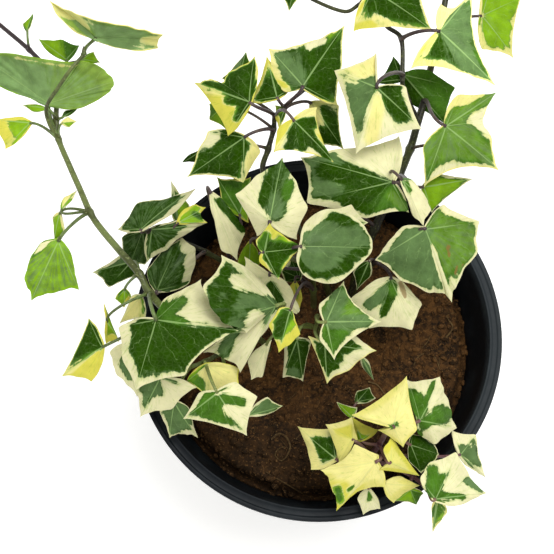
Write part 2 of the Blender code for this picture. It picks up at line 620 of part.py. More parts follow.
def blade(name, plan, group):
    """A thin leaf blade: a net of triangles from the foot over an arched ring to the edge, thickened."""
    foot = seen(plan.foot)
    tips = [seen(tip) for tip in plan.tips]
    reach = max((tip - foot).length for tip in tips)
    edge = blade_edge(foot, tips, plan.rounded, 1 if reach < SMALL_BLADE else EDGE_STEPS)
    spokes = [point - foot for point in edge]
    face = sum((spoke.cross(after) for spoke, after in zip(spokes, spokes[1:])), Vector()).normalized()
    towards_eye = face.dot(RIM_MIDDLE + EYE - foot) > 0
    if towards_eye == plan.under:
        spokes.reverse()
        face.negate()
    shape = bmesh.new()
    centre = shape.verts.new(foot)
    rim = [shape.verts.new(foot + spoke) for spoke in spokes]
    ring = rim
    if reach > PLAIN_BLADE:
        ring = [shape.verts.new(foot + spoke / 2 + face * BLADE_ARCH * spoke.length) for spoke in spokes]
    for number in range(len(spokes)):
        after = (number + 1) % len(spokes)
        shape.faces.new((centre, ring[number], ring[after]))
        if reach > PLAIN_BLADE:
            shape.faces.new((ring[number], rim[number], rim[after]))
            shape.faces.new((ring[number], rim[after], ring[after]))
    mesh = bpy.data.meshes.new(name)
    shape.to_mesh(mesh)
    shape.free()
    piece = mesh_object(name, mesh, group)
    skin = piece.modifiers.new("thickness", "SOLIDIFY")
    skin.thickness = BLADE_THICKNESS
    skin.offset = 0
    return piece


def stalk(name, start, plan, group):
    """A leaf stalk: up out of the stem and into the foot of the blade from behind."""
    foot = seen(plan.foot)
    axis = blade_axis(foot, [seen(tip) for tip in plan.tips])
    reach = (foot - start).length
    up = Vector((0, 0, 1))
    leaving = start + up * reach * STALK_RISE + (foot - start) * STALK_LEAN
    arriving = foot - axis * reach * STALK_ARRIVAL - up * reach * STALK_DROOP
    points = []
    for step in range(STALK_STEPS + 1):
        u = step / STALK_STEPS
        points.append(
            start * (1 - u) ** 3 + leaving * 3 * u * (1 - u) ** 2
            + arriving * 3 * u ** 2 * (1 - u) + foot * u ** 3
        )
    return tube(name, points, STALK_RADIUS, STALK_END_RADIUS, 0, group)


def route_points(shoot, number):
    """Where a route runs. The first stands in its hole and rises straight out of the soil."""
    places = [seen(place) for place in shoot.routes[number].places]
    if number > 0:
        return places
    soil_top = POT_HEIGHT - SOIL_DEPTH
    right, back = (value * MM for value in shoot.hole)
    foot = Vector((right, back, soil_top - HOLE_DEPTH + CLEARANCE))
    collar = Vector((right, back, soil_top + SOIL_LUMP))
    return [foot, collar, *places]


def leafy_shoot(shoot, group, finish):
    """One shoot: its stem with its branches, stalks and blades joined to it."""
    repeats = collection(f"{shoot.name}_repeats")
    stem = None
    for number, plan in enumerate(shoot.routes):
        points = route_points(shoot, number)
        if number == 0:
            points = points[:1] + smooth(points[1:], STEM_STEPS)
            stem = tube(shoot.name, points, plan.base_radius, plan.tip_radius, 1, group)
        else:
            name = f"{shoot.name}_branch_{number}"
            tube(name, smooth(points, STEM_STEPS), plan.base_radius, plan.tip_radius, 1, repeats)
    for plan in shoot.leaves:
        number, place = plan.joint
        start = seen(shoot.routes[number].places[place])
        stalk(f"{shoot.name}_{plan.name}_stalk", start, plan, repeats)
        blade(f"{shoot.name}_{plan.name}_blade", plan, repeats)
    combine(stem, "UNION", repeats, "MANIFOLD")
    settled(stem)
    keep_largest_shell(stem.data)
    stem.data.materials.clear()
    stem.data.materials.append(finish)
    for used in list(repeats.objects):
        bpy.data.objects.remove(used)
    bpy.data.collections.remove(repeats)
    return stem


def main():
    clear_scene()
    parts = collection("potted_ivy")
    drain_cutters = collection("drain_cutters")
    hole_cutters = collection("hole_cutters")
    pot(parts, drain_cutters)
    soil(parts, hole_cutters)
    green = material("ivy_green", (0.080, 0.160, 0.035), 0.4)
    for shoot in SHOOTS:
        leafy_shoot(shoot, parts, green)


main()
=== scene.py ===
# %% [markdown]
# # A potted variegated ivy
# The plant is a bush of waxy leaves on arching stems, in a round black nursery pot. This lesson dresses
# a plain solid model of it. The solids stay the frame: every fine piece made here stands where one of
# them stands, and keeps its size.

# %% Load the frame
import math
import random
from collections import namedtuple

import bmesh
import bpy
import numpy as np
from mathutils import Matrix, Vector, noise


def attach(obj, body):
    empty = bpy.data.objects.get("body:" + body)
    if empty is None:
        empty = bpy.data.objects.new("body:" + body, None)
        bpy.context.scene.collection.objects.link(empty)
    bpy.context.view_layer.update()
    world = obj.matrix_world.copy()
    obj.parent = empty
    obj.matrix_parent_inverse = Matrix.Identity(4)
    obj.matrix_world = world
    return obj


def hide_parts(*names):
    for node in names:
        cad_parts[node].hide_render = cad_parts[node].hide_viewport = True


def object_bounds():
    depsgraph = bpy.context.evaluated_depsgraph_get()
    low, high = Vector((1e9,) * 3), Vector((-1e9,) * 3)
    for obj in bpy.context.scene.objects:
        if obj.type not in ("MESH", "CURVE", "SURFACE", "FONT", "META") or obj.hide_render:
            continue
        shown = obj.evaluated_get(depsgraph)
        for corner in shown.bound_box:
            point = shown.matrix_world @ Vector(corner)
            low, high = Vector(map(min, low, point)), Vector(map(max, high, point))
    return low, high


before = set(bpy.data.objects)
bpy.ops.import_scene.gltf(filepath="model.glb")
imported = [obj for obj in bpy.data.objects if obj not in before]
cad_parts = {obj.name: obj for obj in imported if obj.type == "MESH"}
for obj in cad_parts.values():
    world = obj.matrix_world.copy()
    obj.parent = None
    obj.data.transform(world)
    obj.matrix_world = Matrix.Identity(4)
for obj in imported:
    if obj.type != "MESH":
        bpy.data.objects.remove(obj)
cad_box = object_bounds()
MM = 0.001
print("nodes:", sorted(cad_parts))

# %% [markdown]
# ## Camera
# A picture of a pot holds its own ruler: the rim is a circle, and the way its ellipse is squeezed and
# tapered gives the height and distance of the eye. Here the eye is about 0.6 m off and looks down at 75
# degrees. The same eye is used later to place leaves, so it is written once, from the middle of the rim.

# %% Camera
POT_HEIGHT = 0.155
RIM_MIDDLE = Vector((0, 0, POT_HEIGHT))
EYE = Vector((-0.022, -0.124, 0.580))
ELEVATION = math.radians(75)
SENSOR = 36
FOCAL_PIXELS = 1086
IMAGE_PIXELS = 554
NEAREST_SEEN = 0.01

camera_data = bpy.data.cameras.new("camera")
camera_data.sensor_width = SENSOR
camera_data.lens = SENSOR * FOCAL_PIXELS / IMAGE_PIXELS
camera_data.clip_start = NEAREST_SEEN
camera = bpy.data.objects.new("camera", camera_data)
bpy.context.scene.collection.objects.link(camera)
towards_eye = Vector((0, -math.cos(ELEVATION), math.sin(ELEVATION)))
camera.location = RIM_MIDDLE + EYE
camera.rotation_mode = "QUATERNION"
camera.rotation_quaternion = towards_eye.to_track_quat("Z", "Y")
bpy.context.scene.camera = camera
print("lens", round(camera_data.lens, 1), "mm, eye at", [round(value, 3) for value in camera.location])

# %% [markdown]
# ## Floor and light
# A white sheet and big soft lights give the bright, nearly shadowless look of a plant on a light table.
# The sky does most of the work; one large lamp above the far right adds a soft gloss to the waxy leaves,
# and a weaker one from the near left keeps the shaded side open. The sheet glows a little, as over a
# light box, so that no grey shadow draws the eye away from the plant.

# %% Floor and light
SKY_COLOUR = (1, 0.99, 0.95, 1)
SKY_STRENGTH = 0.72
LAMPS = {
    "key_light": ((0.30, 0.25, 1.50), 0.8, 15),
    "fill_light": ((-0.5, -0.9, 1.2), 1.0, 4),
}
SHEET_SIZE = 6
SHEET_LOOK = {
    "Base Color": (0.93, 0.93, 0.93, 1),
    "Roughness": 0.8,
    "Emission Color": (1, 1, 1, 1),
    "Emission Strength": 0.34,
}


def area_light(name, place, size, power):
    """A round lamp of some size in metres and power in watts, turned to the rim's middle."""
    data = bpy.data.lights.new(name, "AREA")
    data.shape = "DISK"
    data.size = size
    data.energy = power
    lamp = bpy.data.objects.new(name, data)
    lamp.location = place
    lamp.rotation_mode = "QUATERNION"
    lamp.rotation_quaternion = (lamp.location - RIM_MIDDLE).to_track_quat("Z", "Y")
    bpy.context.scene.collection.objects.link(lamp)


world = bpy.data.worlds.new("white_room")
bpy.context.scene.world = world
world.use_nodes = True
sky = world.node_tree.nodes["Background"].inputs
sky["Color"].default_value = SKY_COLOUR
sky["Strength"].default_value = SKY_STRENGTH
for name, (place, size, power) in LAMPS.items():
    area_light(name, place, size, power)

bpy.ops.object.select_all(action="DESELECT")
bpy.ops.mesh.primitive_plane_add(size=SHEET_SIZE)
floor = bpy.context.object
floor.name = "floor"
floor_finish = bpy.data.materials.new("white_floor")
floor_finish.use_nodes = True
for label, value in SHEET_LOOK.items():
    floor_finish.node_tree.nodes["Principled BSDF"].inputs[label].default_value = value
floor.data.materials.append(floor_finish)
bpy.context.scene.view_settings.view_transform = "Standard"

# %% [markdown]
# ## Colours and node helpers
# Colours are noted as they look on a screen, from 0 to 255, and turned into the linear values that a
# shader wants. The other helpers add nodes, groups and materials, and keep the node trees short enough to
# read.

# %% Colours and node helpers
def screen(red, green, blue):
    """A colour as seen on a screen, from 0 to 255, as linear red, green, blue and alpha."""
    linear = []
    for value in (red, green, blue):
        share = value / 255
        linear.append(share / 12.92 if share <= 0.04045 else ((share + 0.055) / 1.055) ** 2.4)
    return (*linear, 1)


def put(tree, kind, inputs=None, **settings):
    """Adds a shader node; an input may be a value or another node's output."""
    made = tree.nodes.new(f"ShaderNode{kind}")
    for name, value in settings.items():
        setattr(made, name, value)
    for socket, value in (inputs or {}).items():
        if isinstance(value, bpy.types.NodeSocket):
            tree.links.new(value, made.inputs[socket])
        else:
            made.inputs[socket].default_value = value
    return made


def maths(tree, operation, first, second=0.0):
    return put(tree, "Math", {0: first, 1: second}, operation=operation).outputs[0]


def plus(tree, first, second):
    return maths(tree, "ADD", first, second)


def minus(tree, first, second):
    return maths(tree, "SUBTRACT", first, second)


def times(tree, first, second):
    return maths(tree, "MULTIPLY", first, second)


def own_place(tree):
    """Where a point lies in the whole plant, in metres, because every piece sits at the origin."""
    return put(tree, "TexCoord").outputs["Object"]


def axes(tree, vector):
    """A vector taken apart into X, Y and Z."""
    return put(tree, "SeparateXYZ", {0: vector}).outputs


def between(tree, value, low, high):
    """0 below low, 1 above high, and a smooth step between them. With low over high it falls."""
    step = put(tree, "MapRange", {"Value": value, "From Min": low, "From Max": high},
               interpolation_type="SMOOTHSTEP")
    return step.outputs["Result"]


def mixed(tree, share, first, second):
    """The first colour going over into the second one."""
    return put(tree, "Mix", {0: share, 6: first, 7: second}, data_type="RGBA").outputs[2]


def speckle(tree, vector, scale, detail=2.0, roughness=0.5):
    """Noise from about 0.2 to 0.8."""
    made = put(tree, "TexNoise", {"Vector": vector, "Scale": scale, "Detail": detail, "Roughness": roughness})
    return made.outputs["Fac"]


def new_group(name, inputs, outputs):
    """An empty shader node group with named sockets, and its input and output nodes."""
    tree = bpy.data.node_groups.new(name, "ShaderNodeTree")
    for label, kind, value in inputs:
        socket = tree.interface.new_socket(label, in_out="INPUT", socket_type=f"NodeSocket{kind}")
        socket.default_value = value
    for label, kind in outputs:
        tree.interface.new_socket(label, in_out="OUTPUT", socket_type=f"NodeSocket{kind}")
    return tree, tree.nodes.new("NodeGroupInput").outputs, tree.nodes.new("NodeGroupOutput").inputs


def new_material(name, **constants):
    """A Principled material with its constant values set on the shader's own sockets."""
    finish = bpy.data.materials.new(name)
    finish.use_nodes = True
    shader = finish.node_tree.nodes["Principled BSDF"]
    for label, value in constants.items():
        shader.inputs[label.replace("_", " ")].default_value = value
    return finish, finish.node_tree, shader.inputs


def use_group(tree, group, **values):
    """Places a node group in a material with its own values."""
    made = tree.nodes.new("ShaderNodeGroup")
    made.node_tree = group
    for label, value in values.items():
        made.inputs[label.replace("_", " ")].default_value = value
    return made.outputs


def dress(tree, shader, colour, roughness, height, strength, depth):
    """Gives the shader its colour and roughness, and a height as a bump of some depth in metres."""
    bump = put(tree, "Bump", {"Height": height, "Strength": strength, "Distance": depth})
    tree.links.new(colour, shader["Base Color"])
    tree.links.new(roughness, shader["Roughness"])
    tree.links.new(bump.outputs["Normal"], shader["Normal"])


print("cream as linear values:", [round(value, 3) for value in screen(236, 236, 196)])

# %% [markdown]
# ## Wear and grain
# Plastic, soil and stems all need two things: large soft blotches, such as dust or damp, and a fine grain
# that breaks up the gloss. Both are node groups, so each material only sets its own scale and strength.

# %% Wear and grain groups
COARSE_GRAIN = 0.23
FINE_SHARE, COARSE_SHARE = 0.4, 0.6


def blotch_group():
    """Soft patches, as dust or damp leave them, as a mask."""
    tree, given, result = new_group(
        "soft blotches",
        (("Scale", "Float", 30.0), ("Low", "Float", 0.45), ("High", "Float", 0.65)),
        (("Mask", "Float"),),
    )
    broad = speckle(tree, own_place(tree), given["Scale"], 3.0, 0.6)
    tree.links.new(between(tree, broad, given["Low"], given["High"]), result["Mask"])
    return tree


def grain_group():
    """A fine uneven grain in two sizes, as a height and as a value for roughness."""
    tree, given, result = new_group(
        "fine grain",
        (("Scale", "Float", 900.0), ("Roughness", "Float", 0.5), ("Spread", "Float", 0.1)),
        (("Height", "Float"), ("Roughness", "Float")),
    )
    place = own_place(tree)
    fine = speckle(tree, place, given["Scale"], 2.0)
    coarse = speckle(tree, place, times(tree, given["Scale"], COARSE_GRAIN), 3.0)
    height = plus(tree, times(tree, fine, FINE_SHARE), times(tree, coarse, COARSE_SHARE))
    swing = times(tree, minus(tree, coarse, 0.5), given["Spread"])
    tree.links.new(height, result["Height"])
    tree.links.new(plus(tree, given["Roughness"], swing), result["Roughness"])
    return tree


BLOTCHES = blotch_group()
GRAIN = grain_group()
print("groups:", BLOTCHES.name, "and", GRAIN.name)

# %% [markdown]
# ## Modelling helpers
# Operators act on whatever is selected, so each step first clears the selection and then picks faces by
# where they lie. A finished piece has its place in its mesh and its object at the origin.

# %% Modelling helpers
def fresh(operator, name, **settings):
    """Adds a primitive with nothing else selected."""
    bpy.ops.object.select_all(action="DESELECT")
    operator(**settings)
    piece = bpy.context.object
    piece.name = name
    piece.data.name = name
    return piece


def only(*pieces):
    bpy.ops.object.select_all(action="DESELECT")
    for piece in pieces:
        piece.select_set(True)
    bpy.context.view_layer.objects.active = pieces[0]


def pick_faces(piece, test):
    """Goes into edit mode with the faces selected that pass a test."""
    only(piece)
    bpy.ops.object.mode_set(mode="EDIT")
    bpy.ops.mesh.select_mode(type="FACE")
    bpy.ops.mesh.select_all(action="DESELECT")
    bpy.ops.object.mode_set(mode="OBJECT")
    for face in piece.data.polygons:
        face.select = test(face)
    bpy.ops.object.mode_set(mode="EDIT")


def pull(rise, widen):
    """Extrudes the selected cap, lifts it and widens it about the pot's axis."""
    bpy.ops.mesh.extrude_region_move(TRANSFORM_OT_translate={"value": (0, 0, rise)})
    bpy.ops.transform.resize(value=(widen, widen, 1), center_override=(0, 0, 0))


def apply_all(piece):
    only(piece)
    for modifier in list(piece.modifiers):
        bpy.ops.object.modifier_apply(modifier=modifier.name)


def settle(piece, *finishes):
    """Puts the place into the mesh, gives the finishes and shades smooth."""
    only(piece)
    bpy.ops.object.transform_apply(location=True, rotation=True, scale=True)
    for finish in finishes:
        piece.data.materials.append(finish)
    bpy.ops.object.shade_smooth()
    return piece


def count_triangles(piece):
    return sum(len(face.vertices) - 2 for face in piece.data.polygons)


print("helpers ready")

# %% [markdown]
# ## Black plastic
# Nursery pots are blown or pressed from recycled plastic: nearly black, satin, with a fine orange-peel
# surface. Handling leaves dull patches, and dust lies in soft patches. The top of the rim is painted
# paler on its right side, a painted sheen where the lamp catches it.

# %% Pot material
POT_BLACK, POT_WORN, POT_DUST_AND_SHEEN = screen(9, 13, 17), screen(17, 23, 28), screen(76, 84, 88)
DUST_IN_PATCHES = 0.10
RIM_SHEEN_SHARE = 0.22
RIM_SHEEN_ACROSS = (0.0, 0.10)
RIM_SHEEN_HEIGHTS = (0.146, 0.154)
DUST_DULLS = 0.5


def pot_material():
    finish, tree, shader = new_material("black_plastic", Specular_IOR_Level=0.11)
    dust = use_group(tree, BLOTCHES, Scale=42.0, Low=0.46, High=0.72)
    film = use_group(tree, BLOTCHES, Scale=11.0, Low=0.40, High=0.75)
    skin = use_group(tree, GRAIN, Scale=1500.0, Roughness=0.40, Spread=0.20)
    clean = mixed(tree, film["Mask"], POT_BLACK, POT_WORN)
    # Painted sheen: the top of the rim is paler on its right side, where the lamp catches it
    place = axes(tree, own_place(tree))
    across = between(tree, place["X"], *RIM_SHEEN_ACROSS)
    painted_sheen = times(tree, across, between(tree, place["Z"], *RIM_SHEEN_HEIGHTS))
    dust_and_sheen = plus(tree, times(tree, dust["Mask"], DUST_IN_PATCHES), times(tree, painted_sheen, RIM_SHEEN_SHARE))
    colour = mixed(tree, dust_and_sheen, clean, POT_DUST_AND_SHEEN)
    roughness = plus(tree, skin["Roughness"], times(tree, dust_and_sheen, DUST_DULLS))
    dress(tree, shader, colour, roughness, skin["Height"], 0.25, 0.0003)
    return finish


POT_FINISH = pot_material()
print("material:", POT_FINISH.name)

# %% [markdown]
# ## Pot
# The pot could be turned from a profile. Here it is pulled out of one cone instead, as on a potter's
# wheel: the top cap is extruded outwards for the ledge, down and out for the hanging skirt, up again and
# inwards round a fine groove to the lip, and at last down the inside to the floor. A small bevel then
# rounds every edge, which is what catches the light on real plastic. Holes are cut through the floor at
# the end.

# %% Pot
POT_RADIUS = 0.100
POT_BASE_RADIUS = 0.072
POT_WALL = 0.0022
RIM_WIDTH = 0.006
RIM_SKIRT = 0.006
RIM_BEAD = 0.0022
GROOVE_DEPTH = 0.0005
FLOOR_THICKNESS = 0.004
FOOT_RECESS = 0.002
FOOT_DISC = 0.036
FOOT_RING = 0.060
DRAIN_RADIUS = 0.005
DRAIN_CIRCLE = 0.048
DRAIN_HOLES = 6
DRILL_SIDES = 24
DRILL_DEPTH = 0.02
EDGE_ROUNDING = 0.0007
ROUNDED_OVER = math.radians(35)
POT_SMOOTH_ANGLE = math.radians(40)
UPRIGHT = 0.9
ROUND = 144

inner_top = POT_RADIUS - RIM_WIDTH
inner_base = POT_BASE_RADIUS - POT_WALL
skirt_radius = POT_RADIUS + POT_WALL / 3


def inner_radius(height):
    """The pot's inner wall at a height, on its straight taper."""
    return inner_base + (inner_top - inner_base) * height / POT_HEIGHT


def make_pot():
    ledge = POT_HEIGHT - POT_WALL
    outer_top = inner_radius(ledge) + POT_WALL
    pot = fresh(bpy.ops.mesh.primitive_cone_add, "nursery_pot", vertices=ROUND, radius1=POT_BASE_RADIUS,
                radius2=outer_top, depth=ledge, location=(0, 0, ledge / 2))
    pick_faces(pot, lambda face: face.normal.z > UPRIGHT)
    radius = outer_top
    lip = (
        (0, skirt_radius - POT_WALL),
        (RIM_SKIRT - POT_WALL, skirt_radius - POT_WALL),
        (0, skirt_radius),
        (-RIM_SKIRT, skirt_radius),
        (0, skirt_radius - RIM_BEAD),
        (GROOVE_DEPTH, skirt_radius - RIM_BEAD - GROOVE_DEPTH),
        (0, inner_top + RIM_BEAD / 2 + GROOVE_DEPTH),
        (-GROOVE_DEPTH, inner_top + RIM_BEAD / 2),
        (0, inner_top),
        (POT_HEIGHT - FLOOR_THICKNESS, inner_radius(FLOOR_THICKNESS)),
    )
    for drop, wanted in lip:
        pull(-drop, wanted / radius)
        radius = wanted
    bpy.ops.object.mode_set(mode="OBJECT")
    pick_faces(pot, lambda face: face.normal.z < -UPRIGHT and face.center.z < -ledge / 2 + MM)
    radius = POT_BASE_RADIUS
    foot = ((0, FOOT_RING), (FOOT_RECESS, FOOT_RING), (0, FOOT_DISC), (-FOOT_RECESS, FOOT_DISC))
    for rise, wanted in foot:
        pull(rise, wanted / radius)
        radius = wanted
    bpy.ops.object.mode_set(mode="OBJECT")
    settle(pot, POT_FINISH)
    soften = pot.modifiers.new("soften", "BEVEL")
    soften.width = EDGE_ROUNDING
    soften.segments = 3
    soften.angle_limit = ROUNDED_OVER
    apply_all(pot)
    drills = []
    for number in range(DRAIN_HOLES):
        turn = math.tau * number / DRAIN_HOLES
        place = (DRAIN_CIRCLE * math.cos(turn), DRAIN_CIRCLE * math.sin(turn), 0)
        drills.append(fresh(bpy.ops.mesh.primitive_cylinder_add, f"drill_{number}", vertices=DRILL_SIDES,
                            radius=DRAIN_RADIUS, depth=DRILL_DEPTH, location=place))
    only(*drills)
    bpy.ops.object.join()
    drill = bpy.context.object
    cut = pot.modifiers.new("drain", "BOOLEAN")
    cut.operation = "DIFFERENCE"
    cut.object = drill
    apply_all(pot)
    bpy.data.objects.remove(drill)
    only(pot)
    bpy.ops.object.shade_smooth_by_angle(angle=POT_SMOOTH_ANGLE)
    return pot


pot = make_pot()
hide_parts("pot")
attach(pot, "root")
print("pot triangles:", count_triangles(pot))

# %% [markdown]
# ## Soil
# Peat compost is a dark reddish brown, full of crumbs, coir threads and pale fibres, and it dries lighter
# on top of each lump. One displaced surface gives the ground, thousands of small crumbs give its broken
# outline, and thin roots and fibres lie on top. All of them use one soil finish with different values.

# %% Soil materials
FRONT_SHADE = (-0.012, -0.062)
FRONT_SHADE_SHARE = 0.72
FLECK_SHARE = 0.55


def soil_material(name, wet_and_shaded, dry, pale, scale):
    """Peat that is damp in places, dark towards the front where the plant shades it, with pale flecks."""
    finish, tree, shader = new_material(name, Specular_IOR_Level=0.15)
    damp = use_group(tree, BLOTCHES, Scale=48.0, Low=0.36, High=0.64)
    lumps = use_group(tree, BLOTCHES, Scale=330.0, Low=0.44, High=0.58)
    flecks = use_group(tree, BLOTCHES, Scale=scale, Low=0.56, High=0.70)
    crumb = use_group(tree, GRAIN, Scale=scale, Roughness=0.9, Spread=0.12)
    drying = times(tree, plus(tree, damp["Mask"], lumps["Mask"]), 0.5)
    ground = mixed(tree, drying, wet_and_shaded, dry)
    back = axes(tree, own_place(tree))["Y"]
    # Painted shade: towards the front, where the plant shades it, the soil takes its damp colour
    shaded = times(tree, between(tree, back, *FRONT_SHADE), FRONT_SHADE_SHARE)
    ground = mixed(tree, shaded, ground, wet_and_shaded)
    colour = mixed(tree, times(tree, flecks["Mask"], FLECK_SHARE), ground, pale)
    dress(tree, shader, colour, crumb["Roughness"], crumb["Height"], 0.8, 0.0012)
    return finish


SOIL_FINISH = soil_material(
    "peat", screen(32, 22, 12), screen(92, 62, 31), screen(128, 92, 52), 700.0)
CRUMB_FINISH = soil_material(
    "peat_crumbs", screen(34, 24, 13), screen(102, 70, 37), screen(150, 112, 68), 1100.0)
FIBRE_FINISH = soil_material(
    "pale_fibre", screen(64, 48, 28), screen(112, 90, 56), screen(146, 124, 84), 900.0)
print("materials:", SOIL_FINISH.name, CRUMB_FINISH.name, FIBRE_FINISH.name)

# %% Soil
SOIL_TOP = POT_HEIGHT - 0.030
SOIL_DIP = 0.009
SOIL_SHOULDER = 0.085
SOIL_SLOPE_START = 0.004
SOIL_LUMP = 0.0022
SOIL_LUMPS = ((SOIL_LUMP, 0.016), (0.0016, 0.0055), (0.0010, 0.0024))
SOIL_RINGS = 64
SOIL_GAP = 0.0003


def soil_height(right, back):
    """The height of the soil: a flat bed with lumps in three sizes, lower along the wall."""
    place = Vector((right, back, SOIL_TOP))
    away = place.xy.length
    edge = max(0.0, (away - SOIL_SHOULDER + SOIL_SLOPE_START) / (inner_radius(SOIL_TOP) - SOIL_SHOULDER))
    lumps = sum(height * noise.noise(place / length) for height, length in SOIL_LUMPS)
    return SOIL_TOP + lumps - SOIL_DIP * min(1.0, edge) ** 1.5


def make_soil():
    bottom = FLOOR_THICKNESS + SOIL_GAP
    top_radius = inner_radius(SOIL_TOP - SOIL_DIP) - SOIL_GAP
    soil = fresh(bpy.ops.mesh.primitive_cone_add, "potting_soil", vertices=ROUND,
                 radius1=inner_radius(bottom) - POT_WALL, radius2=top_radius, depth=SOIL_TOP - bottom,
                 location=(0, 0, (SOIL_TOP + bottom) / 2))
    pick_faces(soil, lambda face: face.normal.z > UPRIGHT)
    for ring in range(SOIL_RINGS - 1):
        bpy.ops.mesh.inset(thickness=top_radius / SOIL_RINGS)
    bpy.ops.mesh.poke()
    bpy.ops.object.mode_set(mode="OBJECT")
    settle(soil, SOIL_FINISH)
    for corner in soil.data.vertices:
        if corner.co.z > SOIL_TOP - MM:
            corner.co.z = soil_height(corner.co.x, corner.co.y)
    return soil


soil = make_soil()
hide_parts("soil")
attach(soil, "root")
print("soil triangles:", count_triangles(soil))

# %% [markdown]
# ## Crumbs and roots
# A crumb is modelled once as a small ball of few faces, then copied, stretched, turned and sunk a little
# into the ground at seeded random places. The roots are curves with a thickness, laid along the soil.

# %% Crumbs
CRUMBS = 2600
CRUMB_SEED = 7
CRUMB_SIZES = (0.0006, 0.0028)
CRUMB_REACH = SOIL_SHOULDER + 0.003
CRUMB_STRETCHES = ((0.7, 1.6), (0.6, 1.1), (0.5, 0.9))
CRUMB_LIFT = 0.25
CRUMB_UNEVEN = 0.45
CRUMB_DENTS = 1.3


def make_crumbs():
    dice = random.Random(CRUMB_SEED)
    ball = fresh(bpy.ops.mesh.primitive_ico_sphere_add, "crumb", subdivisions=1, radius=1)
    shape = bmesh.new()
    for number in range(CRUMBS):
        away = CRUMB_REACH * math.sqrt(dice.random())
        turn = dice.uniform(0, math.tau)
        right, back = away * math.cos(turn), away * math.sin(turn)
        size = CRUMB_SIZES[0] + (CRUMB_SIZES[1] - CRUMB_SIZES[0]) * dice.random() ** 3
        stretch = Vector([dice.uniform(*limits) for limits in CRUMB_STRETCHES]) * size
        spin = dice.uniform(0, math.tau)
        middle = Vector((right, back, soil_height(right, back) + CRUMB_LIFT * stretch.z))
        seed = Vector((number, number * 0.37, 0))
        before = len(shape.verts)
        shape.from_mesh(ball.data)
        shape.verts.ensure_lookup_table()
        for corner in shape.verts[before:]:
            point = corner.co * (1 + CRUMB_UNEVEN * noise.noise(corner.co * CRUMB_DENTS + seed))
            point = Vector((point.x * stretch.x, point.y * stretch.y, point.z * stretch.z))
            across = point.x * math.cos(spin) - point.y * math.sin(spin)
            along = point.x * math.sin(spin) + point.y * math.cos(spin)
            corner.co = middle + Vector((across, along, point.z))
    mesh = bpy.data.meshes.new("soil_crumbs")
    shape.to_mesh(mesh)
    shape.free()
    bpy.data.objects.remove(ball)
    piece = bpy.data.objects.new("soil_crumbs", mesh)
    bpy.context.scene.collection.objects.link(piece)
    return settle(piece, CRUMB_FINISH)


crumbs = make_crumbs()
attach(crumbs, "root")
print("crumb triangles:", count_triangles(crumbs))

# %% [markdown]
# ## Curves
# Three small tools serve every stem, stalk, root and leaf edge. One draws a smooth curve through points
# that were given, one skins such a curve as a round tube whose radius changes along it, and one
# turns a place that was noted as the eye sees it into a point in space.

# %% Curves
SAME_POINT = 0.000001


def smooth(points, steps, closed=False):
    """A smooth curve through the points, as a list with so many steps from each to the next."""
    count = len(points)
    spans = count if closed else count - 1
    curve = []
    for span in range(spans):
        before, start, end, after = (
            points[(span + shift) % count] if closed else points[min(max(span + shift, 0), count - 1)]
            for shift in (-1, 0, 1, 2)
        )
        for step in range(steps):
            u = step / steps
            curve.append(
                0.5 * (2 * start + (end - before) * u
                       + (2 * before - 5 * start + 4 * end - after) * u ** 2
                       + (3 * start - before - 3 * end + after) * u ** 3)
            )
    if not closed:
        curve.append(points[-1])
    return curve


def tubes(name, lines, sides, *finishes):
    """Round tubes along lists of (point, radius), closed at both ends, as one mesh."""
    data = bpy.data.curves.new(name, "CURVE")
    data.dimensions = "3D"
    data.bevel_depth = 1.0
    data.bevel_resolution = (sides - 4) // 2
    data.use_fill_caps = True
    for line in lines:
        spline = data.splines.new("POLY")
        spline.points.add(len(line) - 1)
        for knot, (point, radius) in zip(spline.points, line):
            knot.co = (*point, 1)
            knot.radius = radius
    drawn = bpy.data.objects.new(name, data)
    bpy.context.scene.collection.objects.link(drawn)
    only(drawn)
    bpy.ops.object.convert(target="MESH")
    piece = bpy.context.object
    pick_faces(piece, lambda face: True)
    bpy.ops.mesh.remove_doubles(threshold=SAME_POINT)
    bpy.ops.object.mode_set(mode="OBJECT")
    return settle(piece, *finishes)


def seen(place):
    """The point in space of a place given as (right, back, up) in millimetres from the middle of the rim.

    Right and back are taken on the rim's plane, where the place is seen from EYE. Up is its height.
    """
    right, back, up = (value * MM for value in place)
    on_rim = Vector((right, back, 0))
    return RIM_MIDDLE + EYE + (on_rim - EYE) * ((EYE.z - up) / EYE.z)


print("the middle of the rim:", seen((0, 0, 0)))

# %% Roots and fibres
ROOT_LINES = (
    (0.45, (52, -18), (55, -13), (60, -11), (64, -14), (66, -20)),
    (0.35, (-28, -75), (-16, -82), (-5, -91), (4, -95), (12, -88)),
    (0.55, (27, -27), (32, -29), (36, -34), (41, -37)),
    (0.40, (-12, -58), (-7, -54), (0, -57), (3, -65), (-1, -73)),
    (0.60, (70, -3), (74, 3), (71, 9), (76, 12)),
    (0.70, (-25, -58), (-21, -55), (-17, -57), (-15, -62), (-17, -67), (-20, -69), (-23, -66),
     (-21, -63), (-18, -62)),
)
ROOT_REACH = SOIL_SHOULDER + 0.0005
ROOT_DEPTH = -29
ROOT_LIFT = 0.0008
ROOT_TAPER = 0.6
ROOT_STEPS = 8
ROOT_SIDES = 8
FIBRES = 90
FIBRE_SEED = 21
FIBRE_REACH = SOIL_SHOULDER - 0.010
FIBRE_LENGTHS = (0.003, 0.011)
FIBRE_BENDS = (-0.8, 0.8)
FIBRE_RADII = (0.00010, 0.00022)
FIBRE_LIFT = 0.0005
FIBRE_STEPS = 4


def root_line(thickness, route):
    """A root that lies on the soil along some places on the rim's plane, thinner towards its end."""
    points = []
    for right, back in route:
        ground = seen((right, back, ROOT_DEPTH)).xy
        if ground.length > ROOT_REACH:
            ground *= ROOT_REACH / ground.length
        points.append(Vector((ground.x, ground.y, soil_height(ground.x, ground.y) + ROOT_LIFT)))
    points = smooth(points, ROOT_STEPS)
    last = len(points) - 1
    return [(point, thickness * MM * (1 - ROOT_TAPER * number / last)) for number, point in enumerate(points)]


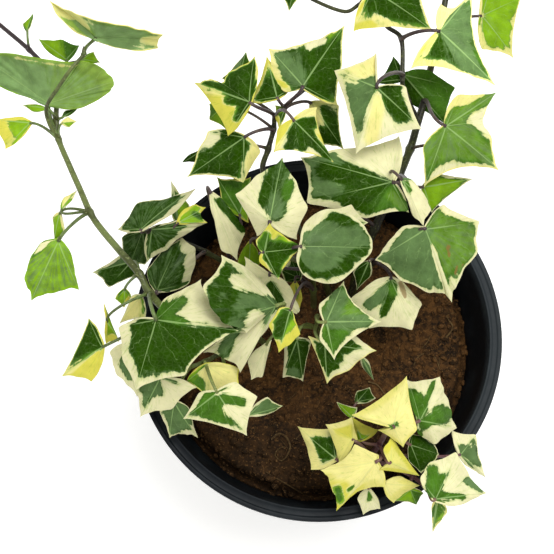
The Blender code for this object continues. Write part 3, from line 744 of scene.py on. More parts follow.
def fibre_line(dice):
    """A short bent fibre at a random place on the soil."""
    away = FIBRE_REACH * math.sqrt(dice.random())
    turn = dice.uniform(0, math.tau)
    heading = dice.uniform(0, math.tau)
    length = dice.uniform(*FIBRE_LENGTHS)
    bend = dice.uniform(*FIBRE_BENDS)
    point = Vector((away * math.cos(turn), away * math.sin(turn)))
    line = []
    for step in range(FIBRE_STEPS + 1):
        height = soil_height(point.x, point.y) + FIBRE_LIFT
        line.append((Vector((point.x, point.y, height)), dice.uniform(*FIBRE_RADII)))
        point = point + Vector((math.cos(heading), math.sin(heading))) * length / FIBRE_STEPS
        heading += bend / FIBRE_STEPS
    return line


def make_roots():
    dice = random.Random(FIBRE_SEED)
    lines = [root_line(thickness, route) for thickness, *route in ROOT_LINES]
    lines += [fibre_line(dice) for number in range(FIBRES)]
    return tubes("soil_roots", lines, ROOT_SIDES, FIBRE_FINISH)


roots = make_roots()
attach(roots, "root")
print("root triangles:", count_triangles(roots))

# %% [markdown]
# ## Leaf markings
# A variegated leaf has cells without green in some layers, so its pattern follows how the leaf grew:
# wedges from the foot to the margin, cream edges, and a silvery zone where a thin green layer lies over a
# white one. The blades made further down carry this as numbers on their points: how cream, how grey, how
# young, how scarred. The group below turns those soft numbers into crisp, streaky borders with noise that
# is stretched along the veins, and draws the pale veins themselves.

# %% Leaf markings group
CREAM_EDGE = (0.43, 0.57)
HALO_EDGE = (0.22, 0.46)
GREY_EDGE = (0.30, 0.85)
MID_EDGE, LIGHT_EDGE, GOLD_EDGE = (0.0, 0.45), (0.45, 0.95), (1.0, 1.7)
YELLOW_EDGE, DEEP_YELLOW_EDGE = (0.1, 0.8), (0.95, 1.5)
SCAR_EDGE = (0.50, 0.80)
MAIN_VEIN_EDGE, SIDE_VEIN_EDGE, NET_VEIN_EDGE = (0.4, 1.3), (0.01, 0.055), (0.02, 0.12)
MAIN_VEIN_SHOWN, SIDE_VEIN_SHOWN, NET_VEIN_SHOWN = 0.60, 0.28, 0.045
MAIN_VEIN_SUNK, SIDE_VEIN_SUNK, NET_VEIN_SUNK = 0.45, 0.25, 0.12
NET_CELLS = 430.0


def attribute(tree, name, output):
    """Numbers that a blade carries on its points."""
    return put(tree, "Attribute", attribute_name=name).outputs[output]


def noise_about(tree, vector, scale, detail, share):
    """Noise on both sides of nothing."""
    return times(tree, minus(tree, speckle(tree, vector, scale, detail, 0.6), 0.5), share)


def outside(tree, value, low, high):
    """1 below low and 0 above high."""
    return minus(tree, 1.0, between(tree, value, low, high))


def brighten(tree, colour, share):
    return put(tree, "VectorMath", {0: colour, "Scale": share}, operation="SCALE").outputs[0]


def leaf_group():
    """Colour, height and roughness of a blade, from the numbers on its points."""
    names = ("Dark", "Mid", "Light", "Silver", "Cream", "Yellow", "Gold", "Vein", "Scar")
    tree, given, result = new_group(
        "leaf markings",
        [(name, "Color", (0.5, 0.5, 0.5, 1)) for name in names],
        (("Colour", "Color"), ("Height", "Float"), ("Roughness", "Float")),
    )
    place = own_place(tree)
    marks = put(tree, "Attribute", attribute_name="marks").outputs
    kinds = put(tree, "SeparateColor", {"Color": marks["Color"]}).outputs
    lines = axes(tree, attribute(tree, "veins", "Vector"))
    streak = attribute(tree, "streak", "Vector")

    # How cream, silvery and young each point is, with ragged borders
    shifted = put(tree, "VectorMath", {0: streak, 1: (31.0, 17.0, 5.0)}, operation="ADD").outputs[0]
    small = noise_about(tree, place, 420.0, 3.0, 1.0)
    tiny = times(tree, small, 0.55)
    broad = noise_about(tree, place, 110.0, 2.0, 0.90)
    ragged = plus(tree, noise_about(tree, streak, 1.0, 3.0, 0.95), tiny)
    cream_field = plus(tree, plus(tree, kinds["Red"], ragged), broad)
    cream = between(tree, cream_field, *CREAM_EDGE)
    halo = between(tree, cream_field, *HALO_EDGE)
    ghost = plus(tree, noise_about(tree, shifted, 0.9, 3.0, 1.3), tiny)
    grey = between(tree, plus(tree, kinds["Green"], ghost), *GREY_EDGE)
    young = plus(tree, kinds["Blue"], times(tree, ghost, 0.40))

    # The green and the pale parts of the leaf, put together by the cream mask
    green = mixed(tree, between(tree, young, *MID_EDGE), given["Dark"], given["Mid"])
    green = mixed(tree, between(tree, young, *LIGHT_EDGE), green, given["Light"])
    green = mixed(tree, times(tree, between(tree, young, *GOLD_EDGE), 0.9), green, given["Gold"])
    green = mixed(tree, times(tree, grey, 0.85), green, given["Silver"])
    green = mixed(tree, times(tree, halo, 0.55), green, given["Silver"])
    pale = mixed(tree, between(tree, kinds["Blue"], *YELLOW_EDGE), given["Cream"], given["Yellow"])
    pale = mixed(tree, between(tree, kinds["Blue"], *DEEP_YELLOW_EDGE), pale, given["Gold"])
    flecks = between(tree, speckle(tree, shifted, 2.6, 3.0, 0.65), 0.56, 0.66)
    near_green = outside(tree, cream_field, 0.55, 0.95)
    tint = plus(tree, times(tree, flecks, 0.28), times(tree, near_green, 0.28))
    pale = mixed(tree, tint, pale, given["Light"])
    colour = mixed(tree, cream, green, pale)
    cloud = speckle(tree, place, 150.0, 3.0)
    depth = minus(tree, 1.1, times(tree, cream, 0.75))
    colour = brighten(tree, colour, plus(tree, 1.0, times(tree, minus(tree, cloud, 0.5), depth)))

    # Main veins, which thin out along the leaf, then side veins and the net between them
    width = minus(tree, 0.30, times(tree, attribute(tree, "reach", "Fac"), 0.20))
    main = outside(tree, maths(tree, "DIVIDE", lines["X"], width), *MAIN_VEIN_EDGE)
    wander = plus(tree, lines["Y"], plus(tree, tiny, noise_about(tree, place, 90.0, 2.0, 1.3)))
    turn = maths(tree, "FRACT", wander)
    side = outside(tree, maths(tree, "MINIMUM", turn, minus(tree, 1.0, turn)), *SIDE_VEIN_EDGE)
    side = times(tree, side, between(tree, lines["Z"], 0.5, 4.0))
    side = times(tree, side, between(tree, speckle(tree, shifted, 1.1, 2.0), 0.35, 0.62))
    cells = put(tree, "TexVoronoi", {"Vector": place, "Scale": NET_CELLS}, feature="DISTANCE_TO_EDGE")
    net = outside(tree, cells.outputs["Distance"], *NET_VEIN_EDGE)
    shown = maths(tree, "MAXIMUM", times(tree, main, MAIN_VEIN_SHOWN), times(tree, side, SIDE_VEIN_SHOWN))
    shown = maths(tree, "MAXIMUM", shown, times(tree, net, NET_VEIN_SHOWN))
    shown = times(tree, shown, minus(tree, 1.0, times(tree, cream, 0.70)))
    colour = mixed(tree, shown, colour, given["Vein"])

    # Brown scars, and a painted shading: each leaf lighter or darker for how light falls on it
    scar_field = plus(tree, marks["Alpha"], times(tree, small, 0.8))
    scar = between(tree, scar_field, *SCAR_EDGE)
    colour = mixed(tree, times(tree, scar, 0.7), colour, given["Scar"])
    colour = brighten(tree, colour, attribute(tree, "shade", "Fac"))

    # Veins lie sunk in the skin, and scars are dull
    height = times(tree, speckle(tree, place, 1600.0, 1.0), 0.08)
    height = minus(tree, height, times(tree, main, MAIN_VEIN_SUNK))
    height = minus(tree, height, times(tree, side, SIDE_VEIN_SUNK))
    height = minus(tree, height, times(tree, net, NET_VEIN_SUNK))
    height = plus(tree, height, times(tree, cloud, 0.9))
    dull = plus(tree, 0.40, times(tree, cloud, 0.15))
    tree.links.new(colour, result["Colour"])
    tree.links.new(height, result["Height"])
    tree.links.new(plus(tree, dull, times(tree, scar, 0.3)), result["Roughness"])
    return tree


LEAF_MARKINGS = leaf_group()
print("group:", LEAF_MARKINGS.name)

# %% [markdown]
# ## Leaf and stem materials
# The upper face is waxy, with a thin clear coat. The underside has the same pattern behind a paler, duller
# skin, and lets more light in. Stems are olive and turn purple where the sun reaches them.

# %% Leaf and stem materials
def leaf_material(name, colours, gloss, glow):
    finish, tree, shader = new_material(
        name, Specular_IOR_Level=0.015, Coat_Weight=gloss, Coat_Roughness=0.22,
        Subsurface_Weight=glow, Subsurface_Scale=0.0015, Subsurface_Radius=(0.8, 1.0, 0.3),
    )
    marks = use_group(tree, LEAF_MARKINGS, **{label: screen(*colour) for label, colour in colours.items()})
    dress(tree, shader, marks["Colour"], marks["Roughness"], marks["Height"], 0.35, 0.0006)
    return finish


UPPER_COLOURS = {
    "Dark": (34, 64, 0), "Mid": (64, 104, 26), "Light": (118, 158, 24), "Silver": (88, 114, 68),
    "Cream": (212, 208, 164), "Yellow": (218, 210, 134), "Gold": (200, 194, 78), "Vein": (146, 176, 110),
    "Scar": (128, 96, 50),
}
UNDER_COLOURS = {
    "Dark": (84, 112, 52), "Mid": (104, 136, 62), "Light": (126, 154, 66), "Silver": (114, 142, 90),
    "Cream": (200, 200, 154), "Yellow": (196, 192, 120), "Gold": (190, 188, 80), "Vein": (142, 166, 104),
    "Scar": (130, 100, 64),
}
LEAF_UPPER = leaf_material("leaf_upper", UPPER_COLOURS, 0.05, 0.06)
LEAF_UNDER = leaf_material("leaf_under", UNDER_COLOURS, 0.0, 0.10)

AGED_SKIN = screen(50, 40, 42)
AGED_ACROSS = (-0.142, -0.152)
AGED_HEIGHTS = (0.196, 0.188)
SPECK_SCALE = 14
SPECK_SHARE = 0.5


def stem_material(name, dark_and_edge_shade, body, light, scale, ageing=False):
    """A stem's skin. An ageing stem is green, and dark where it runs far to the left and low."""
    finish, tree, shader = new_material(name, Specular_IOR_Level=0.30, Coat_Weight=0.06, Coat_Roughness=0.3)
    patches = use_group(tree, BLOTCHES, Scale=scale, Low=0.42, High=0.62)
    specks = use_group(tree, BLOTCHES, Scale=scale * SPECK_SCALE, Low=0.55, High=0.68)
    skin = use_group(tree, GRAIN, Scale=2200.0, Roughness=0.42, Spread=0.12)
    colour = mixed(tree, patches["Mask"], screen(*dark_and_edge_shade), screen(*body))
    colour = mixed(tree, times(tree, specks["Mask"], SPECK_SHARE), colour, screen(*light))
    # Painted shade: the round stem's sides, where they turn away from the eye, go over into the dark colour
    rim = put(tree, "LayerWeight", {"Blend": 0.35}).outputs["Facing"]
    colour = mixed(tree, between(tree, rim, 0.25, 0.95), colour, screen(*dark_and_edge_shade))
    if ageing:
        place = axes(tree, own_place(tree))
        far_left = between(tree, place["X"], *AGED_ACROSS)
        low = between(tree, place["Z"], *AGED_HEIGHTS)
        colour = mixed(tree, times(tree, far_left, low), colour, AGED_SKIN)
    dress(tree, shader, colour, skin["Roughness"], skin["Height"], 0.3, 0.0004)
    return finish


STEM_OLIVE = stem_material("stem_olive", (74, 78, 40), (104, 120, 64), (150, 160, 104), 60.0)
STEM_AGEING = stem_material("stem_ageing", (62, 68, 30), (98, 110, 58), (140, 150, 96), 60.0, ageing=True)
STEM_PURPLE = stem_material("stem_purple", (30, 28, 20), (56, 60, 26), (112, 116, 66), 60.0)
STEM_ROSY = stem_material("stem_rosy", (92, 58, 62), (112, 84, 72), (146, 128, 92), 60.0)
STALK_GREEN = stem_material("stalk_green", (104, 114, 58), (132, 148, 80), (170, 178, 120), 90.0)
STALK_OLIVE = stem_material("stalk_olive", (70, 82, 40), (98, 118, 62), (138, 156, 98), 90.0)
STALK_PURPLE = stem_material("stalk_purple", (58, 46, 48), (80, 66, 60), (120, 104, 84), 90.0)
print("materials:", LEAF_UPPER.name, LEAF_UNDER.name, STEM_OLIVE.name, STALK_GREEN.name)

# %% [markdown]
# ## Where the shoots grow
# Each stem was noted as the places that it runs through, and each leaf as its foot and its points, in
# millimetres on the rim's plane as the eye sees them, with a height over the rim. A shoot's hole is where
# it stands in the soil, and a leaf's joint is the number of a route and of a place on it. The outlines of
# the leaves are what makes the plant itself, so every leaf has its own.

# %% Shoots and leaves
Route = namedtuple("Route", "base_radius tip_radius places")
Leaf = namedtuple("Leaf", "name joint foot tips rounded under")
Shoot = namedtuple("Shoot", "name hole routes leaves")


def route(base_radius, tip_radius, *places):
    """A stem or branch: its radius at both ends in millimetres and the places it runs through."""
    return Route(base_radius * MM, tip_radius * MM, places)


def leaf(name, joint, foot, *tips, rounded=False, under=False):
    """A leaf: the route and place its stalk leaves, its blade's foot, and the tips round the blade.

    A rounded blade has a smooth edge through its tips. An under blade shows its underside to EYE.
    """
    return Leaf(name, joint, foot, tips, rounded, under)


SHOOTS = (
    Shoot(
        name="shoot_right_back",
        hole=(21, 27),
        routes=(
            route(2.6, 1.6, (23, 37, -6), (33, 60, 16), (42, 79, 30), (47, 90, 35), (54, 107, 40),
                  (58, 120, 45), (63, 137, 49), (67, 155, 51), (74, 182, 55), (78, 202, 58),
                  (81, 215, 59)),
            route(1.4, 0.9, (58, 120, 45), (58, 127, 49), (54, 136, 54), (51, 146, 61),
                  (51, 153, 65), (51, 176, 70), (43, 184, 74), (35, 194, 74), (28, 199, 73),
                  (18, 194, 70), (-1, 202, 68), (-10, 210, 65)),
        ),
        leaves=(
            leaf("h8", (0, 4), (78, 109, 49), (69, 97, 42), (83, 97, 38), (95, 109, 40),
                 (87, 121, 46)),
            leaf("h1", (0, 1), (20, 76, 30), (10, 86, 24), (23, 96, 22), (40, 90, 22),
                 (37, 74, 27)),
            leaf("t7", (0, 10), (83, 222, 62), (75, 227, 59), (84, 242, 59), (92, 224, 61)),
            leaf("t1", (1, 8), (35, 208, 81), (23, 181, 73), (70, 181, 84), (63, 222, 78),
                 (42, 227, 76)),
            leaf("t2", (1, 5), (74, 181, 84), (56, 157, 73), (81, 156, 77), (105, 146, 76),
                 (95, 170, 80), (95, 207, 81), (83, 196, 81), (75, 199, 78)),
            leaf("t3", (0, 8), (99, 191, 73), (98, 169, 68), (116, 164, 65), (123, 203, 68),
                 (106, 216, 70)),
            leaf("t4", (1, 2), (52, 153, 54), (55, 135, 46), (75, 122, 46), (82, 145, 51),
                 (67, 156, 54)),
            leaf("t5", (1, 4), (50, 150, 62), (36, 148, 57), (46, 165, 59)),
            leaf("t6", (1, 11), (-12, 210, 65), (-19, 204, 62), (-15, 194, 59), (-9, 203, 62)),
            leaf("r1", (0, 6), (75, 121, 78), (61, 108, 73), (61, 84, 62), (82, 96, 66),
                 (104, 94, 65), (101, 115, 70), (96, 124, 72), (105, 142, 68), (83, 141, 70)),
            leaf("r2", (0, 3), (61, 84, 57), (65, 69, 49), (89, 89, 51), (70, 92, 54)),
            leaf("c1", (1, 4), (36, 145, 97), (53, 146, 92), (61, 119, 84), (23, 104, 81),
                 (11, 156, 89), (36, 167, 86)),
            leaf("c5", (0, 3), (43, 87, 73), (52, 69, 68), (28, 65, 62), (-6, 74, 59),
                 (-9, 102, 62), (11, 107, 68), (48, 115, 68)),
            leaf("c7", (0, 2), (49, 88, 81), (52, 76, 76), (54, 67, 70), (60, 61, 68), (65, 70, 68),
                 (61, 80, 73), (55, 88, 77)),
        ),
    ),
    Shoot(
        name="shoot_middle_back",
        hole=(9, 24),
        routes=(
            route(2.1, 1.1, (3, 33, -2), (-9, 58, 22), (-22, 79, 38), (-30, 94, 46), (-27, 107, 51),
                  (-24, 119, 57), (-23, 127, 63), (-18, 132, 68)),
        ),
        leaves=(
            leaf("h9", (0, 7), (-2, 151, 62), (-15, 156, 58), (-10, 167, 55), (5, 168, 54),
                 (11, 150, 57)),
            leaf("h3", (0, 2), (-24, 72, 62), (-36, 73, 58), (-36, 86, 54), (-23, 93, 51),
                 (-15, 82, 57)),
            leaf("m1", (0, 6), (-38, 136, 81), (-50, 115, 70), (-70, 148, 68), (-61, 151, 70),
                 (-54, 148, 73), (-51, 155, 73), (-35, 165, 76)),
            leaf("m2", (0, 7), (-22, 139, 81), (-38, 136, 73), (-28, 165, 72), (-14, 145, 76)),
            leaf("m3", (0, 7), (-7, 146, 84), (-18, 142, 80), (-26, 151, 76), (-27, 170, 73),
                 (-4, 174, 77), (18, 185, 73), (16, 159, 74), (13, 134, 70)),
            leaf("m3b", (0, 7), (-2, 135, 68), (14, 134, 62), (16, 107, 51), (3, 109, 49)),
            leaf("m4", (0, 5), (-41, 114, 65), (-31, 105, 59), (-41, 86, 51), (-57, 91, 53),
                 (-73, 90, 51), (-67, 107, 57), (-62, 118, 59)),
            leaf("m5", (0, 6), (-44, 149, 62), (-54, 151, 57), (-40, 168, 57), (-37, 159, 59)),
            leaf("m6", (0, 4), (-67, 105, 46), (-67, 99, 40), (-76, 99, 38)),
            leaf("m7", (0, 5), (-54, 132, 59), (-51, 119, 54), (-61, 125, 51), (-61, 135, 54)),
            leaf("m8", (0, 7), (-18, 130, 70), (-21, 120, 68), (-23, 126, 68), (-23, 134, 70)),
            leaf("c2", (0, 6), (-12, 124, 94), (-22, 119, 90), (-24, 105, 86), (-7, 105, 88),
                 (10, 99, 80), (2, 118, 85), (1, 133, 89)),
        ),
    ),
    Shoot(
        name="shoot_long_left",
        hole=(-31, 10),
        routes=(
            route(2.2, 1.2, (-40, 6, -8), (-60, 6, 16), (-79, 10, 32), (-92, 22, 42), (-98, 33, 45),
                  (-110, 47, 43), (-121, 60, 40), (-127, 69, 39), (-133, 82, 36), (-140, 97, 34),
                  (-147, 113, 32), (-149, 125, 32), (-150, 139, 30), (-156, 156, 24),
                  (-167, 169, 20), (-185, 185, 15), (-195, 194, 12)),
            route(1.1, 0.9, (-147, 113, 32), (-153, 123, 38), (-155, 133, 47), (-149, 145, 59),
                  (-142, 157, 69), (-135, 166, 69)),
        ),
        leaves=(
            leaf("h4", (0, 2), (-83, -4, 40), (-91, 1, 38), (-93, -13, 32), (-81, -20, 30),
                 (-66, -9, 34), (-71, 1, 38)),
            leaf("l8", (0, 16), (-200, 198, 14), (-204, 187, 11), (-216, 203, 11), (-205, 211, 14)),
            leaf("d1", (0, 3), (-88, 7, 76), (-83, 20, 70), (-64, 30, 45), (-43, 1, 68),
                 (-70, -19, 62), (-71, -24, 58), (-98, -32, 51), (-106, -15, 57), (-109, 3, 62),
                 (-101, 7, 69)),
            leaf("e1", (0, 2), (-117, -8, 57), (-122, -27, 43), (-138, -24, 46), (-125, 8, 54)),
            leaf("e2", (0, 3), (-115, 6, 46), (-117, 16, 46), (-108, -5, 38), (-115, -6, 38)),
            leaf("e3", (0, 4), (-106, 24, 35), (-102, 20, 30), (-106, 14, 27), (-111, 19, 30)),
            leaf("e4", (0, 3), (-97, 20, 40), (-94, 8, 35), (-108, 5, 32), (-102, 21, 38)),
            leaf("f1", (0, 4), (-103, 40, 32), (-100, 32, 27), (-115, 25, 19), (-124, 34, 19),
                 (-109, 44, 27)),
            leaf("l5", (0, 7), (-144, 52, 30), (-136, 44, 24), (-131, 24, 8), (-145, 22, 7),
                 (-157, 18, 5), (-162, 30, 11), (-159, 43, 19), (-154, 51, 26)),
            leaf("n1", (0, 7), (-144, 68, 32), (-141, 55, 24), (-146, 52, 22), (-148, 66, 27)),
            leaf("n2", (0, 7), (-143, 71, 34), (-142, 78, 32), (-135, 82, 32)),
            leaf("l4", (0, 10), (-164, 123, 36), (-170, 127, 35), (-188, 125, 30), (-177, 107, 27)),
            leaf("b1", (0, 10), (-145, 123, 35), (-141, 120, 34), (-137, 124, 34), (-142, 127, 35)),
            leaf("b2", (0, 11), (-145, 127, 34), (-137, 132, 32), (-144, 131, 34)),
            leaf("b3", (0, 11), (-155, 132, 35), (-163, 130, 34), (-169, 134, 34)),
            leaf("l2", (0, 10), (-154, 135, 36), (-166, 139, 39), (-179, 144, 43), (-193, 153, 43),
                 (-194, 164, 43), (-181, 167, 49), (-157, 163, 54), (-141, 161, 55),
                 (-135, 162, 55), (-125, 158, 54), (-117, 149, 51), (-121, 141, 47),
                 (-137, 132, 40), rounded=True, under=True),
            leaf("l1", (1, 5), (-128, 177, 58), (-157, 201, 46), (-136, 191, 70), (-110, 185, 74),
                 (-88, 179, 63), (-91, 170, 53), under=True),
            leaf("l3", (0, 13), (-145, 163, 27), (-162, 176, 24), (-148, 176, 27), (-138, 172, 28)),
            leaf("l7", (0, 13), (-135, 163, 28), (-129, 168, 30), (-125, 161, 30)),
            leaf("l6", (0, 14), (-169, 182, 24), (-172, 186, 24), (-166, 193, 26)),
        ),
    ),
    Shoot(
        name="shoot_left",
        hole=(-27, -3),
        routes=(
            route(2.0, 1.0, (-33, -3, -6), (-42, -4, 14), (-52, -11, 27), (-61, -16, 35),
                  (-69, -19, 38)),
        ),
        leaves=(
            leaf("h5", (0, 1), (-45, 8, 27), (-54, 19, 23), (-43, 27, 22), (-30, 16, 23),
                 (-37, -4, 24), (-51, -4, 23)),
            leaf("d2", (0, 1), (-23, 15, 62), (-53, 44, 65), (-64, 26, 72), (-59, 14, 77),
                 (-52, 5, 77), (-39, 0, 63), (-51, -2, 57), (-62, -11, 43), (-51, -15, 45),
                 (-42, -22, 45), (-33, -4, 54)),
            leaf("d3", (0, 3), (-54, -33, 57), (-44, -27, 54), (-32, -35, 51), (-38, -56, 43),
                 (-72, -47, 46), (-64, -33, 51)),
            leaf("d4", (0, 2), (-37, -45, 30), (-27, -35, 27), (-19, -40, 22)),
            leaf("d5", (0, 3), (-60, -18, 46), (-42, -20, 40), (-42, -30, 38), (-60, -35, 35),
                 (-71, -27, 38)),
            leaf("d6", (0, 4), (-85, -25, 40), (-65, -30, 38), (-78, -42, 27), (-95, -46, 22),
                 (-98, -31, 30)),
            leaf("d7", (0, 4), (-77, -38, 27), (-69, -41, 24), (-64, -57, 11), (-72, -55, 11),
                 (-79, -57, 8), (-85, -43, 19)),
            leaf("d8", (0, 4), (-103, -7, 40), (-97, -35, 24), (-109, -23, 24), (-113, -11, 30)),
        ),
    ),
    Shoot(
        name="shoot_left_back",
        hole=(-19, 22),
        routes=(
            route(1.9, 1.0, (-30, 25, -12), (-47, 37, 0), (-62, 46, 11), (-76, 52, 19),
                  (-88, 55, 27), (-94, 58, 35)),
        ),
        leaves=(
            leaf("f2", (0, 5), (-98, 59, 46), (-111, 59, 38), (-101, 75, 40), (-68, 83, 35)),
            leaf("f3", (0, 5), (-97, 58, 30), (-109, 54, 24), (-108, 46, 19), (-103, 39, 16),
                 (-95, 38, 19), (-88, 51, 24)),
            leaf("f4", (0, 4), (-92, 59, 36), (-94, 40, 23), (-83, 47, 27), (-73, 56, 34),
                 (-61, 63, 38), (-68, 69, 39), (-80, 63, 39)),
            leaf("f5", (0, 3), (-77, 62, 22), (-81, 67, 19), (-82, 88, 11), (-71, 73, 16)),
            leaf("f6", (0, 2), (-88, 24, 22), (-70, 28, 16), (-67, 39, 19), (-67, 49, 22),
                 (-75, 55, 24), (-86, 47, 20), (-94, 36, 18)),
            leaf("f7", (0, 3), (-77, 63, 40), (-69, 63, 39), (-61, 63, 39), (-65, 68, 40),
                 (-62, 72, 40), (-68, 74, 40), (-74, 71, 40)),
            leaf("g1", (0, 1), (-59, 80, 51), (-49, 72, 50), (-39, 58, 46), (-44, 41, 40),
                 (-53, 46, 40), (-56, 63, 46)),
            leaf("g2", (0, 1), (-43, 68, 43), (-53, 74, 40), (-56, 90, 38), (-37, 90, 38),
                 (-38, 63, 43)),
        ),
    ),
    Shoot(
        name="shoot_centre",
        hole=(-1, 22),
        routes=(
            route(2.0, 1.1, (-2, 24, 7), (-3, 34, 32), (-9, 40, 51), (-18, 44, 65), (-23, 53, 73)),
        ),
        leaves=(
            leaf("h2", (0, 1), (8, 40, 51), (-2, 44, 47), (7, 58, 43), (22, 53, 45), (20, 38, 49)),
            leaf("c3", (0, 4), (-26, 64, 89), (-11, 53, 78), (-4, 72, 81), (-11, 88, 84),
                 (-19, 102, 81), (-34, 91, 84), (-46, 80, 82), (-33, 55, 77)),
            leaf("c8", (0, 2), (-8, 49, 86), (-11, 40, 84), (-5, 31, 78), (10, 28, 76),
                 (22, 37, 76), (31, 48, 76), (25, 63, 78), (8, 71, 81), (-6, 63, 84), rounded=True),
            leaf("c9", (0, 3), (-29, 46, 88), (-32, 40, 84), (-21, 30, 77), (-16, 40, 81),
                 (-7, 49, 81), (-20, 57, 90), (-26, 63, 99), (-34, 53, 90)),
            leaf("c10", (0, 1), (12, 60, 70), (29, 63, 65), (20, 74, 68), (10, 71, 70)),
            leaf("c14", (0, 0), (-15, 12, 70), (-12, 6, 68), (-9, -1, 63), (-15, -7, 62),
                 (-21, -11, 61), (-24, -2, 63), (-27, 4, 66), (-21, 14, 70)),
            leaf("c15", (0, 1), (-26, 32, 51), (-31, 37, 53), (-40, 43, 51), (-41, 32, 45),
                 (-27, 17, 36), (-11, 10, 34), (-9, 12, 36), (-14, 25, 46), (-17, 29, 49)),
            leaf("c18", (0, 0), (-10, 31, 32), (-8, 40, 35), (-15, 44, 36), (-21, 36, 35),
                 (-18, 29, 32)),
            leaf("c19", (0, 0), (-12, 28, 36), (-16, 21, 30), (-10, 12, 24), (-8, 19, 30),
                 (-9, 25, 34)),
            leaf("g3", (0, 1), (-37, 51, 43), (-44, 37, 32), (-38, 28, 23), (-31, 40, 34)),
        ),
    ),
    Shoot(
        name="shoot_front",
        hole=(2, 3),
        routes=(
            route(1.8, 1.0, (0, 2, -5), (0, 6, 20), (0, 9, 38)),
        ),
        leaves=(
            leaf("c11", (0, 2), (5, 6, 68), (1, 16, 63), (15, 29, 58), (19, 18, 62), (35, 6, 57),
                 (19, -3, 59), (9, -15, 57), (1, -4, 62)),
            leaf("c12", (0, 1), (4, -6, 51), (-5, -2, 49), (5, -28, 38), (17, -21, 39),
                 (32, -10, 40), (20, -1, 46)),
            leaf("c13", (0, 0), (-11, -4, 35), (-3, -5, 32), (-8, -27, 22), (-19, -25, 22),
                 (-18, -6, 30)),
            leaf("c16", (0, 0), (-28, -7, 30), (-25, -4, 30), (-30, -25, 16), (-36, -26, 16),
                 (-38, -16, 22)),
            leaf("c17", (0, 0), (24, -14, 27), (25, -20, 20), (30, -26, 16), (28, -17, 22)),
        ),
    ),
    Shoot(
        name="shoot_right",
        hole=(16, 14),
        routes=(
            route(2.0, 1.1, (16, 17, -12), (22, 29, 8), (32, 40, 30), (44, 49, 46), (53, 55, 57)),
        ),
        leaves=(
            leaf("h6", (0, 2), (62, 51, 35), (52, 40, 30), (66, 30, 24), (83, 43, 27),
                 (78, 58, 32)),
            leaf("r3", (0, 4), (61, 59, 65), (48, 61, 61), (40, 52, 57), (32, 41, 51), (46, 29, 46),
                 (61, 22, 43), (70, 22, 42), (74, 17, 39), (78, 28, 45), (90, 45, 46), (92, 64, 51),
                 (81, 68, 57), (72, 74, 59)),
            leaf("r4", (0, 2), (41, 30, 40), (31, 29, 38), (18, 19, 30), (27, 2, 24), (52, 1, 22),
                 (58, 16, 27), (48, 28, 36)),
            leaf("r5", (0, 2), (29, 40, 40), (30, 32, 35), (22, 24, 30), (20, 34, 32)),
        ),
    ),
    Shoot(
        name="shoot_young",
        hole=(23, -71),
        routes=(
            route(1.9, 1.3, (23, -72, -10), (27, -67, 8), (32, -61, 22), (37, -53, 32),
                  (41, -50, 39)),
            route(1.2, 1.0, (27, -67, 8), (37, -72, 8), (49, -77, 8), (57, -84, 18)),
        ),
        leaves=(
            leaf("y1", (0, 4), (40, -51, 51), (18, -45, 43), (48, -24, 40), (53, -53, 46),
                 (45, -62, 40), (32, -53, 43)),
            leaf("y2", (0, 4), (54, -48, 42), (48, -26, 32), (57, -26, 31), (66, -24, 27),
                 (70, -37, 24), (74, -52, 19), (62, -61, 24), (53, -55, 32)),
            leaf("y3", (0, 1), (30, -70, 40), (35, -83, 30), (20, -85, 24), (9, -95, 16),
                 (6, -82, 24), (1, -74, 24), (13, -69, 31), (19, -60, 35), (32, -66, 40)),
            leaf("y4", (0, 1), (18, -58, 30), (11, -71, 22), (4, -50, 22), (18, -46, 27),
                 (21, -58, 30)),
            leaf("y5", (0, 0), (9, -68, 19), (-4, -74, 11), (-11, -51, 8), (7, -52, 16)),
            leaf("y6", (0, 2), (23, -58, 27), (19, -58, 23), (18, -46, 22), (32, -53, 24)),
            leaf("y7", (0, 2), (38, -70, 43), (32, -74, 38), (53, -77, 27), (39, -56, 40),
                 (34, -63, 42)),
            leaf("y8", (0, 1), (35, -81, 30), (39, -91, 19), (53, -82, 19), (43, -77, 27)),
            leaf("y9", (0, 3), (49, -61, 28), (48, -70, 24), (54, -76, 19), (60, -72, 19),
                 (64, -66, 18), (62, -61, 19), (56, -56, 23), (50, -55, 26)),
            leaf("y10", (1, 3), (61, -89, 32), (53, -78, 30), (58, -70, 27), (73, -64, 19),
                 (88, -86, 11), (77, -91, 19)),
            leaf("y11", (0, 1), (75, -66, 14), (71, -53, 14), (84, -55, 8), (88, -78, -2),
                 (80, -73, 5)),
            leaf("y12", (1, 3), (62, -89, 24), (67, -96, 14), (59, -106, 3), (59, -95, 14)),
            leaf("y13", (0, 1), (26, -84, 19), (32, -94, 11), (23, -97, 8), (20, -89, 14)),
            leaf("y14", (1, 2), (48, -84, 16), (55, -86, 12), (51, -92, 8), (40, -90, 11)),
            leaf("y15", (0, 0), (18, -46, 14), (10, -38, 11), (21, -41, 14)),
            leaf("y16", (0, 0), (21, -38, 3), (21, -32, 1), (28, -30, 0), (31, -36, 0)),
        ),
    ),
)
print("shoots:", len(SHOOTS), "leaves:", sum(len(shoot.leaves) for shoot in SHOOTS))

# %% [markdown]
# ## Notes on the markings
# The notes name one colour for each stretch of edge, from the heel round the blade: d dark green, m mid
# green, p pale green, q pale yellow green, l light green, k dull dark green, g silvery, c cream, y yellow,
# x deep yellow, s strong yellow and b brown. Two letters are the inner and the outer part, and a digit
# says in tenths of the way where the outer part starts. Next come the colour of the margin, its width as
# a share of the blade, and a painted shading that makes the whole leaf lighter or darker for how the light
# falls on it, painted light above 1 and painted shade below. Some leaves have a few brush strokes on top,
# as a letter, two ends on the rim's plane and a radius, in millimetres.

# %% Notes on the markings
MARKS = {}


def marks(name, sectors, rim, margin, shade, *strokes):
    MARKS[name] = (sectors.split(), rim, margin, shade, strokes)


